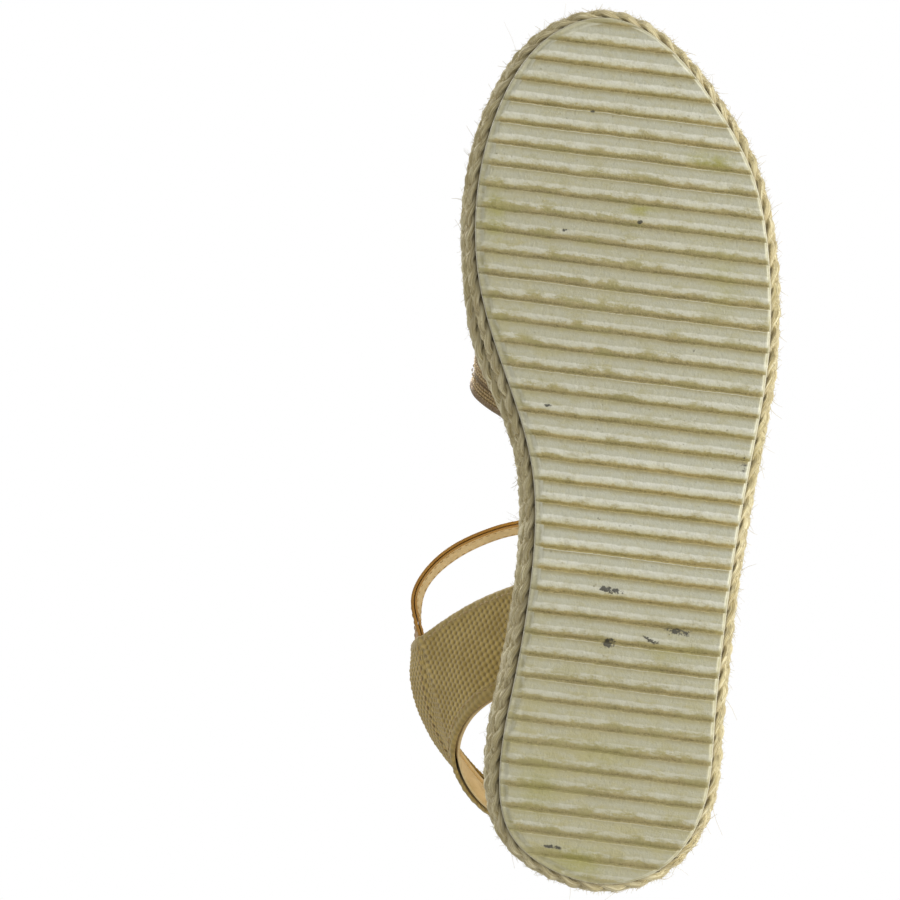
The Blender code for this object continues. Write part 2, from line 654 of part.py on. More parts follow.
def build():
    clear_scene()
    group = new_collection("wedge_sandal")
    cutters = new_collection("cutters")
    leather = make_material("tan_leather", (0.36, 0.20, 0.055), 0.42)
    lining = make_material("beige_lining", (0.55, 0.42, 0.26), 0.6)
    jute = make_material("jute_braid", (0.52, 0.43, 0.24), 0.9)
    knit = make_material("metallic_knit", (0.30, 0.19, 0.10), 0.4, 0.5)
    metal = make_material("antique_brass", (0.55, 0.42, 0.22), 0.3, 1.0)
    canvas = make_material("natural_canvas", (0.42, 0.33, 0.17), 0.9)
    cloth = make_material("vamp_backing", (0.7, 0.68, 0.62), 0.9)
    rubber = make_material("cream_rubber", (0.62, 0.58, 0.42), 0.6)
    core = make_material("core_foam", (0.72, 0.62, 0.45), 0.8)
    board = make_material("fibre_board", (0.35, 0.27, 0.18), 0.8)
    foam = make_material("soft_foam", (0.85, 0.8, 0.7), 0.9)
    materials = {
        "vamp_outer": knit, "vamp_backer": cloth, "vamp_lining": lining,
        "sling_outer": canvas, "sling_lining": lining,
        "strap_back_outer": leather, "strap_back_lining": lining,
        "billet_outer": leather, "billet_lining": lining,
        "buckle_strap_outer": leather, "buckle_strap_lining": lining,
    }
    make_outsole(rubber, group, cutters)
    make_wedge_core(core, group)
    make_braid_rows(jute, group)
    make_layer("insole_board", BOARD_OUTSET, above_deck(BOARD_LAYER), board, group)
    make_layer("footbed_foam", FOAM_OUTSET, above_deck(FOAM_LAYER), foam, group)
    make_layer("sock_lining", BOARD_OUTSET, above_deck(SOCK_LAYER), lining, group)
    make_vamp(materials, group)
    loop = AnkleLoop()
    make_sling(loop, materials, group)
    swing = (loop.point(0) + loop.point(loop.mouth)) / 2
    bar = loop.point(loop.bar, 0, BAR_LIFT)
    back = np.linspace(loop.mouth, loop.length - 0.0001 * MM, 2 * TUNNEL_COLUMNS - 1)
    for name, layer in (("strap_back_outer", LEATHER), ("strap_back_lining", LEATHER_LINING)):
        make_strap(loop, name, back, np.zeros(len(back)), layer, materials[name], group, (0, 0, 0))
    make_billet(loop, materials, group, cutters, swing)
    make_buckle_strap(loop, materials, group, cutters, swing)
    make_buckle_frame(loop, metal, group, bar)
    make_buckle_prong(loop, metal, group, bar)
    make_keeper(loop, "fixed_keeper", FIXED_KEEPER_AT, FIXED_KEEPER_CLEARANCE, leather, group, swing)
    slide = loop.point(loop.bar + SLIDING_KEEPER_AT)
    make_keeper(loop, "sliding_keeper", SLIDING_KEEPER_AT, SLIDING_KEEPER_CLEARANCE, leather, group, slide)


build()
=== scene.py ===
"""Looks of the left wedge sandal: ribbed outsole, plaited jute sides, metallic knit band,
woven canvas heel sling, and a lined leather ankle strap with its buckle.

Metres, +Z up, toe along -Y, inner side of the foot at -X, the tread on z = 0.
The tread faces the camera, so the camera and most of the lights are under the floor.
"""
import functools
import itertools
import math

import bpy
import numpy as np
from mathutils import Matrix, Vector


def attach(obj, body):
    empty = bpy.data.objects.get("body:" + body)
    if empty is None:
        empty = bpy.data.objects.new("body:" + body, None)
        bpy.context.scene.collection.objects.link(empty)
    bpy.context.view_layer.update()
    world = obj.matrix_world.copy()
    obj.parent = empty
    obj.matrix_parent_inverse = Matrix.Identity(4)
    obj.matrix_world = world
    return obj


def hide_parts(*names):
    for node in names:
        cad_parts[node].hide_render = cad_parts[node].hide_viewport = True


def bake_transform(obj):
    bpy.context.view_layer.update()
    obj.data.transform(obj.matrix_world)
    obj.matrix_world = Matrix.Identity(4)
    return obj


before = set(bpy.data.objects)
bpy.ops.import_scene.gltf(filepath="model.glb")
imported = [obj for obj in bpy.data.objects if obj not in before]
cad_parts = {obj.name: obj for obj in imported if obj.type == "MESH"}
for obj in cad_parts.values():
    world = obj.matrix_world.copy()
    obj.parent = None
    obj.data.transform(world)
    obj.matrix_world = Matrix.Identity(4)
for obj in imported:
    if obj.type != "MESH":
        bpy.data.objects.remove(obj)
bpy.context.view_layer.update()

MM = 0.001
GAP = 0.3 * MM

# Driving dimensions, the same as the frame's.

SOLE_OUTLINE = np.array([
    (0, -129), (17, -121.5), (32, -104), (43.3, -83.5), (48.6, -57), (48.4, -27), (43.5, 2), (38.5, 30),
    (35, 56), (32.3, 83), (28.2, 109), (16.5, 124.3), (1, 129), (-15.5, 125), (-28.2, 114.5),
    (-31.6, 94), (-27.2, 68), (-22.3, 38), (-22.2, 4), (-30, -23), (-37.5, -49), (-38.2, -78),
    (-31.2, -104), (-16, -124),
]) * MM
OUTSOLE_THICKNESS = 5.0 * MM
ROW_PITCH = 8.0 * MM
FULL_ROWS = 3
HEEL_ROWS = 2
DECK_FOREFOOT = OUTSOLE_THICKNESS + FULL_ROWS * ROW_PITCH
DECK_HEEL = DECK_FOREFOOT + HEEL_ROWS * ROW_PITCH
DECK_RISE = (-50 * MM, 80 * MM)
RIB_PITCH = 6.52 * MM
RIB_LAND = 3.7 * MM
RIB_STEP = 0.7 * MM
RIB_DEPTH = 1.6 * MM
RIB_SLANT = math.radians(7.1)
ROW_INNER = -3.0 * MM
SHORTEST_ROW = 2.4 * MM
SOCK_TOP = 5.9 * MM
FOOTBED_OUTSET = -1.2 * MM
VAMP_FRONT = (-80 * MM, -88 * MM, -76 * MM)
VAMP_REAR = (-10 * MM, -38 * MM, -14 * MM)
VAMP_HEIGHT = (32 * MM, 50 * MM)
VAMP_FOOT_OUTSET = -0.6 * MM
VAMP_INNER_BULGE = (2.5 * MM, 18.5 * MM)
VAMP_OUTER_BULGE = 3 * MM
VAMP_FOOT_RISE = 0.8 * MM
VAMP_BULGE_REACH = 0.42
VAMP_CROWN_PULL = 1.6
VAMP_ARCH_ROUND = 0.75
LOOP_POINTS = np.array([
    (-56.3, 62, 99.5), (-57, 47.5, 103), (-48.5, 35.8, 104), (-36, 28.7, 104), (-19, 24.8, 104),
    (-8, 27, 104), (1.5, 34.5, 104), (7, 48, 103), (8, 61, 99.5), (8, 72, 98), (6.5, 84, 98.5),
    (1, 98, 100), (-10, 110.5, 102), (-26.7, 115.5, 103), (-42, 104, 100.5), (-51.5, 89, 98),
    (-55.6, 74, 97.5),
]) * MM
LOOP_LEAN = np.array([
    (-0.15, 0.15), (0.2, 0.02), (0.2, 0.21), (0.1, 0.27), (0, 0.29), (-0.08, 0.27),
    (-0.2, 0.21), (-0.3, 0.05), (-0.4, 0.1), (-0.46, 0.05), (-0.46, -0.03), (-0.45, -0.12),
    (-0.42, -0.25), (-0.36, -0.3), (-0.3, -0.18), (-0.31, -0.03), (-0.33, 0.05),
])
OUTER_MOUTH = 8
STRAP_WIDTH = 11.5 * MM
SLING_ANCHOR = (41 * MM, 76 * MM)
SLING_FOOT_OUTSET = 0.6 * MM
SLING_FOOT_RISE = (0.5 * MM, 8.0 * MM)
SLING_BAND = 7.2 * MM
SLING_HEM = np.array([
    (-36, 80, 58), (-42.5, 88, 66), (-44.5, 97, 71), (-41.5, 107, 75), (-33.5, 116, 78), (-19, 121, 79.5),
    (-5, 117.5, 78), (5, 107.5, 75), (13.5, 97, 70), (21, 87, 63), (28, 80, 56),
]) * MM
BAR_BEFORE_MOUTH = 32 * MM
BAR_LIFT = 0.3 * MM
WIRE = 1.0 * MM
FRAME_LENGTH = 11 * MM
FRAME_HALF_WIDTH = 7.3 * MM
FRAME_END_LIFT = 2.45 * MM
PRONG_WIRE = 0.75 * MM
HOLE_BEFORE_BAR = 2.9 * MM
HOLE_PITCH = 7.0 * MM
HOLE_RADIUS = 1.6 * MM
TIP_AFTER_BAR = 26 * MM
KEEPER_WIDTH = 4.0 * MM
KEEPER_WALL = 0.9 * MM
FIXED_KEEPER_AT = 8.5 * MM
SLIDING_KEEPER_AT = 18.0 * MM
BILLET_PATH = np.array([(-10.2, 0), (-9, 0.5), (-6, 2.7), (-3, 4.2), (0, 4.4), (3, 3.5), (6, 2.5)]) * MM
TURNED_END = np.array([(2.6, -0.75), (5.2, -0.4)]) * MM
PRONG_REACH = np.array([
    (-2.4, 2.4), (-2.9, 4.4), (-4.0, 6.0), (-6.5, 6.2), (-9.5, 5.0), (-12.6, 4.2),
]) * MM
LINING_AFTER_BAR = 6.5 * MM


# Curves and surfaces that the frame was drawn from.

def cubic_through(points, closed, lengths_from):
    """Dense samples of a cubic spline through the points, and the rows of its knots.

    The first lengths_from columns are places, which space the knots.
    """
    knots = np.vstack([points, points[:1]]) if closed else np.array(points, float)
    step = np.diff(lengths_along(knots[:, :lengths_from]))
    last = len(step)
    system = np.zeros((last + 1, last + 1))
    pull = np.zeros_like(knots)
    for i in range(1, last):
        system[i, i - 1:i + 2] = step[i - 1], 2 * (step[i - 1] + step[i]), step[i]
        pull[i] = 6 * ((knots[i + 1] - knots[i]) / step[i] - (knots[i] - knots[i - 1]) / step[i - 1])
    if closed:
        system[0, 0], system[0, last] = 1, -1
        system[last, 0] += 2 * step[0]
        system[last, 1] += step[0]
        system[last, last - 1] += step[-1]
        system[last, last] += 2 * step[-1]
        pull[last] = 6 * ((knots[1] - knots[0]) / step[0] - (knots[0] - knots[-2]) / step[-1])
    else:
        system[0, 0] = system[last, last] = 1
    bend = np.linalg.solve(system, pull)
    samples = []
    per_span = 40
    for i, h in enumerate(step):
        for t in np.linspace(0, h, per_span, endpoint=False):
            u = h - t
            cubic = (bend[i] * u ** 3 + bend[i + 1] * t ** 3) / (6 * h)
            before = (knots[i] / h - bend[i] * h / 6) * u
            after = (knots[i + 1] / h - bend[i + 1] * h / 6) * t
            samples.append(cubic + before + after)
    samples.append(knots[-1])
    return np.array(samples), np.arange(last + 1) * per_span


def lengths_along(points, closed=False):
    """Distance along a line at each of its points; a closed line's last value is its whole length."""
    if closed:
        points = np.vstack([points, points[:1]])
    return np.concatenate([[0], np.cumsum(np.linalg.norm(np.diff(points, axis=0), axis=1))])


def read_curve(points, at, want):
    """The curve's points at the wanted distances along it."""
    return np.column_stack([np.interp(want, at, column) for column in points.T])


def even_curve(points, count, closed=False):
    """Points spaced evenly along a smooth curve; a closed curve doesn't repeat its first point."""
    dense, _ = cubic_through(points, closed, len(points[0]))
    at = lengths_along(dense)
    return read_curve(dense, at, np.linspace(0, at[-1], count, endpoint=not closed))


def evenly(points, count, closed=False):
    """Points spaced evenly along straight steps; a closed line doesn't repeat its first point."""
    if closed:
        points = np.vstack([points, points[:1]])
    at = lengths_along(points)
    return read_curve(points, at, np.linspace(0, at[-1], count, endpoint=not closed))


def unit(vectors):
    return vectors / np.maximum(np.linalg.norm(vectors, axis=-1, keepdims=True), 1e-12)


def ahead_round(ring):
    """Unit directions along a closed line."""
    return unit(np.roll(ring, -1, axis=0) - np.roll(ring, 1, axis=0))


def outward_round(ring):
    """Unit directions out of a flat closed line that runs anticlockwise."""
    ahead = ahead_round(ring)
    return np.column_stack([ahead[:, 1], -ahead[:, 0]])


@functools.cache
def outline(outset, count=480):
    """The sole's outline, moved outwards by outset."""
    ring = even_curve(SOLE_OUTLINE, count, closed=True)
    return ring + outset * outward_round(ring)


def two_sides(ring):
    """A closed loop that runs anticlockwise, as its rising (outer) and falling (inner) side."""
    toe, heel = ring[:, 1].argmin(), ring[:, 1].argmax()
    turned = np.roll(ring, -toe, axis=0)
    top = (heel - toe) % len(ring)
    return turned[:top + 1], np.vstack([turned[top:], turned[:1]])[::-1]


def side_x(y, outset, inner):
    """X of the outline's inner or outer side at y."""
    side = two_sides(outline(outset))[1 if inner else 0]
    return np.interp(y, side[:, 1], side[:, 0])


def ease(value):
    """0 to 1 with level ends."""
    t = np.clip(value, 0, 1)
    return t * t * (3 - 2 * t)


def deck(y):
    """Height of the wedge's top face at y."""
    low, high = DECK_RISE
    return DECK_FOREFOOT + (DECK_HEEL - DECK_FOREFOOT) * ease((y - low) / (high - low))


def vamp_points(across, along):
    """Points of the band's inner face: across runs from the inner side, along from the front edge."""
    inner_y, crown_y, outer_y = (a + (b - a) * along for a, b in zip(VAMP_FRONT, VAMP_REAR))
    arch = np.sin(np.pi * across).clip(0)
    side_y = inner_y + (outer_y - inner_y) * ease(across)
    y = side_y + (crown_y - side_y) * arch ** VAMP_CROWN_PULL
    inner_x = side_x(inner_y, VAMP_FOOT_OUTSET, True)
    outer_x = side_x(outer_y, VAMP_FOOT_OUTSET, False)
    foot_z = deck(inner_y) + (deck(outer_y) - deck(inner_y)) * across + VAMP_FOOT_RISE
    height = VAMP_HEIGHT[0] + (VAMP_HEIGHT[1] - VAMP_HEIGHT[0]) * along
    x = inner_x + (outer_x - inner_x) * (1 - np.cos(np.pi * across)) / 2
    inner_bulge = VAMP_INNER_BULGE[0] + (VAMP_INNER_BULGE[1] - VAMP_INNER_BULGE[0]) * along ** 2
    x = x - inner_bulge * np.sin(np.pi * np.minimum(across / VAMP_BULGE_REACH, 1)) ** 2
    x = x + VAMP_OUTER_BULGE * np.sin(np.pi * np.minimum((1 - across) / VAMP_BULGE_REACH, 1)) ** 2
    return np.stack([x, y, foot_z + height * arch ** VAMP_ARCH_ROUND], axis=-1)


class AnkleLoop:
    """The strap's closed centre line with its local directions, read by distance along it."""

    def __init__(self):
        dense, knots = cubic_through(np.hstack([LOOP_POINTS, LOOP_LEAN]), True, 3)
        self.centre = dense[:, :3]
        self.at = lengths_along(self.centre)
        self.ahead = unit(np.gradient(self.centre, axis=0))
        lean = np.column_stack([dense[:, 3:], np.ones(len(dense))])
        self.wide = unit(lean - self.ahead * np.sum(lean * self.ahead, axis=1, keepdims=True))
        self.outward = np.cross(self.ahead, self.wide)
        self.mouth = self.at[knots[OUTER_MOUTH]]
        self.bar = self.mouth - BAR_BEFORE_MOUTH
        self.length = self.at[-1]

    def read(self, table, distance):
        return read_curve(table, self.at, np.atleast_1d(distance) % self.length)

    def points(self, distance, across=0.0, lift=0.0):
        """Points on the strap: across is along its width, lift is away from the ankle."""
        across, lift = (np.broadcast_to(value, np.shape(distance))[:, None] for value in (across, lift))
        place = self.read(self.centre, distance)
        return place + across * self.read(self.wide, distance) + lift * self.read(self.outward, distance)

    def table(self, distance, across, lift):
        """The same as a grid of points, from rows, columns or whole grids of values."""
        values = np.broadcast_arrays(distance, across, lift)
        return self.points(*(value.ravel() for value in values)).reshape(*values[0].shape, 3)

    def outward_from(self, stations):
        """For sew: the directions away from the ankle, for a line along these stations."""
        return lambda at, want: self.read(self.outward, np.interp(want, at, stations))


loop = AnkleLoop()


# Mesh and noise helpers.

RANDOM = np.random.default_rng(20)
LATTICE_SIZE = 48
STRIP_CORNER_STEPS = 4
LATTICE = np.random.default_rng(5).random((LATTICE_SIZE,) * 3)


def wobble(points, size, seed=0):
    """Smooth noise from -1 to 1 whose features are about the given size."""
    place = np.asarray(points) / size + seed * 7.31
    corner = np.floor(place).astype(int)
    share = ease(place - corner)
    total = np.zeros(place.shape[:-1])
    for offset in itertools.product((0, 1), repeat=3):
        weight = np.prod(np.where(offset, share, 1 - share), axis=-1)
        x, y, z = np.moveaxis((corner + offset) % LATTICE_SIZE, -1, 0)
        total += weight * LATTICE[x, y, z]
    return 2 * total - 1


def crossed(first, second):
    """Pairs of every value of first with every value of second, as a grid."""
    return np.stack(np.meshgrid(first, second, indexing="ij"), axis=-1)


def add_object(name, data):
    thing = bpy.data.objects.new(name, data)
    bpy.context.scene.collection.objects.link(thing)
    return thing


class Shape:
    """Collects grids of points and turns them into one mesh object."""

    def __init__(self):
        self.points, self.faces, self.uvs, self.facts = [], [], [], {}
        self.count = 0

    def grid(self, points, loop=False, caps=False, uv=None, **facts):
        """Add closed rows of points: loop joins the last row to the first, caps close both ends."""
        rows, columns = points.shape[:2]
        index = np.arange(rows * columns).reshape(rows, columns)
        if loop:
            index = np.vstack([index, index[:1]])
        index = np.hstack([index, index[:, :1]])
        near, far = slice(None, -1), slice(1, None)
        corners = [(near, near), (near, far), (far, far), (far, near)]
        quads = np.stack([index[c] for c in corners], axis=-1).reshape(-1, 4)
        flat = points.reshape(-1, 3)
        a, b, c, d = (flat[quads[:, k]] for k in range(4))
        flip = np.sum(np.cross(c - a, d - b) * ((a + b + c + d) / 4 - flat.mean(axis=0))) < 0
        if uv is None:
            uv = np.zeros((*index.shape, 2))
        corner_uv = np.stack([uv[c] for c in corners], axis=2).reshape(-1, 4, 2)
        if flip:
            quads, corner_uv = quads[:, ::-1], corner_uv[:, ::-1]
        self.faces += (quads + self.count).tolist()
        self.uvs.append(corner_uv.reshape(-1, 2))
        if caps:
            for end, turn in ((index[0, :columns], not flip), (index[-1, :columns], flip)):
                self.faces.append((end[::-1] if turn else end) + self.count)
                self.uvs.append(np.zeros((columns, 2)))
        for name in set(self.facts) | set(facts):
            value = np.broadcast_to(facts.get(name, 0.0), (rows, columns)).ravel()
            self.facts.setdefault(name, [np.zeros(self.count)] if self.count else []).append(value)
        self.points.append(flat)
        self.count += len(flat)

    def build(self, name, look, body=None, replaces=(), sharp=None):
        """The collected grids as an object that rides on a body and stands for CAD nodes."""
        mesh = bpy.data.meshes.new(name)
        mesh.from_pydata(np.vstack(self.points), [], [list(face) for face in self.faces])
        layer = mesh.uv_layers.new(name="grain")
        layer.data.foreach_set("uv", np.vstack(self.uvs).astype(np.float32).ravel())
        for fact, values in self.facts.items():
            attribute = mesh.attributes.new(fact, "FLOAT", "POINT")
            attribute.data.foreach_set("value", np.concatenate(values).astype(np.float32))
        mesh.shade_smooth()
        if sharp:
            mesh.set_sharp_from_angle(angle=math.radians(sharp))
        mesh.materials.append(look)
        piece = add_object(name, mesh)
        if body:
            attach(piece, body)
        if replaces:
            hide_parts(*replaces)
        return piece


def sweep(centre, side, up, section, grow=None):
    """A section of (sideways, upwards) points carried along a line; grow scales it at each station."""
    section = np.broadcast_to(section, (len(centre), *np.shape(section)[-2:]))
    if grow is not None:
        section = section * np.reshape(grow, (-1, 1, 1))
    return centre[:, None] + section[..., :1] * side[:, None] + section[..., 1:] * up[:, None]


def oval(half_width, half_height, count, squareness=1.0):
    """A closed round section; squareness under 1 makes it boxier."""
    turn = np.linspace(0, 2 * np.pi, count, endpoint=False)
    x, y = np.cos(turn), np.sin(turn)
    return np.column_stack([half_width * np.sign(x) * np.abs(x) ** squareness,
                            half_height * np.sign(y) * np.abs(y) ** squareness])


def rounded_box(half_width, low, high, radius, steps):
    """A box section's four rounded corners, clockwise from the upper right one."""
    points = []
    for x, y, first in ((half_width, high, 90), (half_width, low, 0), (-half_width, low, -90),
                        (-half_width, high, -180)):
        centre = (x - math.copysign(radius, x), y - math.copysign(radius, y - (low + high) / 2))
        for angle in np.radians(np.linspace(first, first - 90, steps)):
            points.append((centre[0] + radius * math.cos(angle), centre[1] + radius * math.sin(angle)))
    return points


def rounded_strip(half_width, low, high, radius, across):
    """Section of a strip of leather with rounded edges and across points over its width."""
    points = rounded_box(half_width, low, high, radius, STRIP_CORNER_STEPS)
    flat = half_width - radius
    top = [(x, high) for x in np.linspace(-flat, flat, across)[1:-1]]
    bottom = [(x, low) for x in np.linspace(flat, -flat, across)[1:-1]]
    half = 2 * STRIP_CORNER_STEPS
    return np.array(points[:half] + bottom + points[half:] + top)


def rope_frames(path, up_hint, closed=False):
    """Sideways and upwards directions along a path, given roughly what up is."""
    if closed:
        hint = np.broadcast_to(up_hint, path.shape)
        wrapped = (np.vstack([rows[-1:], rows, rows[:1]]) for rows in (path, hint))
        return [direction[1:-1] for direction in rope_frames(*wrapped)]
    ahead = unit(np.gradient(path, axis=0))
    side = unit(np.cross(ahead, up_hint))
    return side, np.cross(side, ahead)


def add_rope(shape, path, up_hint, section, closed=False, **facts):
    """Add a round thing that follows a path, with its grain running lengthways."""
    side, up = rope_frames(path, up_hint, closed)
    first = np.reshape(section, (-1, *np.shape(section)[-2:]))[0]
    uv = crossed(lengths_along(path, closed), lengths_along(first, True))
    shape.grid(sweep(path, side, up, section), loop=closed, caps=not closed, uv=uv, **facts)


def add_stitches(shape, middles, aheads, normals, length, radius):
    """Sewing stitches: short rounded threads that dip into the cloth at both ends."""
    t = np.linspace(-1, 1, 7)
    section = oval(1, 1, 6)
    grow = radius * np.sqrt(np.clip(1.06 - t ** 2, 0.05, 1))
    height = 0.9 * radius * (1 - 1.7 * t ** 2)
    for middle, ahead, normal in zip(middles, aheads, normals):
        path = middle + np.outer(t, ahead) * length / 2 + np.outer(height, normal)
        side, up = rope_frames(path, normal)
        shape.grid(sweep(path, side, up, section, grow), caps=True)


def sew(shape, line, normals_at, pitch, length, radius, first=1.0 * MM, last=0.0):
    """A row of stitches along a line. normals_at(at, want) gives the cloth's normals at wanted lengths."""
    at = lengths_along(line)
    want = np.arange(first, at[-1] - last, pitch)
    ahead = unit(read_curve(np.gradient(line, axis=0), at, want))
    add_stitches(shape, read_curve(line, at, want), ahead, normals_at(at, want), length, radius)


def normals_of(points):
    """Unit normals of a grid of points, towards the cross product of its row and column directions."""
    return unit(np.cross(np.gradient(points, axis=0), np.gradient(points, axis=1)))


# Materials.

def screen(red, green, blue):
    """A colour given as it looks on screen, 0 to 255, as a shader's linear colour."""
    share = np.array([red, green, blue]) / 255
    linear = np.where(share <= 0.04045, share / 12.92, ((share + 0.055) / 1.055) ** 2.4)
    return (*linear.tolist(), 1.0)


class Look:
    """One procedural material. Its short calls add nodes and return their output sockets."""

    def __init__(self, name, roughness, metallic=0.0, **sockets):
        self.material = bpy.data.materials.new(name)
        self.material.use_nodes = True
        self.tree = self.material.node_tree
        self.shader = self.tree.nodes["Principled BSDF"]
        self.put(self.shader.inputs["Roughness"], roughness)
        self.put(self.shader.inputs["Metallic"], metallic)
        for socket, value in sockets.items():
            self.put(self.shader.inputs[socket.replace("_", " ")], value)

    def put(self, socket, value):
        if isinstance(value, bpy.types.NodeSocket):
            self.tree.links.new(value, socket)
        else:
            socket.default_value = value

    def add(self, kind, inputs, **settings):
        node = self.tree.nodes.new(f"ShaderNode{kind}")
        for key, value in settings.items():
            setattr(node, key, value)
        for key, value in inputs.items():
            self.put(node.inputs[key], value)
        return node

    def place(self, stretch=(1, 1, 1), turn=(0, 0, 0), grain=False):
        """Object coordinates, or the mesh's grain map, in millimetres divided by stretch."""
        if grain:
            source = self.add("UVMap", {}, uv_map="grain").outputs["UV"]
        else:
            source = self.add("TexCoord", {}).outputs["Object"]
        if any(turn):
            source = self.add("Mapping", {"Vector": source, "Rotation": turn}).outputs["Vector"]
        scale = tuple(1 / (value * MM) for value in stretch)
        return self.add("Mapping", {"Vector": source, "Scale": scale}).outputs["Vector"]

    def noise(self, place, size, detail=4.0, roughness=0.55, distortion=0.0):
        """Cloudy noise, 0 to 1, with features of about size millimetres."""
        inputs = {"Vector": place, "Scale": 1 / size, "Detail": detail, "Roughness": roughness,
                  "Distortion": distortion}
        return self.add("TexNoise", inputs).outputs["Fac"]

    def cells(self, place, size):
        """Distance to scattered points, 0 at each point."""
        return self.add("TexVoronoi", {"Vector": place, "Scale": 1 / size}).outputs["Distance"]

    def fact(self, name):
        return self.add("Attribute", {}, attribute_name=name).outputs["Fac"]

    def between(self, value, low, high, start=0.0, end=1.0):
        """start where value is at or under low, end at or over high, smooth in between."""
        inputs = {"Value": value, "From Min": low, "From Max": high, "To Min": start, "To Max": end}
        return self.add("MapRange", inputs, interpolation_type="SMOOTHSTEP").outputs["Result"]

    def maths(self, operation, *values):
        """One operation that takes in all the values, first to last."""
        def pair(first, second):
            return self.add("Math", {0: first, 1: second}, operation=operation).outputs["Value"]
        return functools.reduce(pair, values)

    def times(self, *values):
        return self.maths("MULTIPLY", *values)

    def plus(self, *values):
        return self.maths("ADD", *values)

    def mix(self, share, first, second):
        """first where share is 0, second where it is 1. Plain numbers are colours on screen."""
        first, second = (screen(*value) if isinstance(value, tuple) else value for value in (first, second))
        return self.add("Mix", {0: share, 6: first, 7: second}, data_type="RGBA").outputs[2]

    def base(self, share, first, second):
        """Give the look its ground colour, between two tones."""
        self.ground = self.mix(share, first, second)
        self.put(self.shader.inputs["Base Color"], self.ground)

    def coat(self, share, colour):
        """Lay a colour over the ones already there, as strongly as share says."""
        self.base(share, self.ground, colour)

    def rough(self, value):
        self.put(self.shader.inputs["Roughness"], value)

    def bumps(self, *layers):
        """Stack bump layers, each (height, depth in millimetres)."""
        normal = None
        for height, depth in layers:
            inputs = {"Height": height, "Strength": 1.0, "Distance": depth * MM}
            if normal:
                inputs["Normal"] = normal
            normal = self.add("Bump", inputs).outputs["Normal"]
        self.put(self.shader.inputs["Normal"], normal)
        return self.material


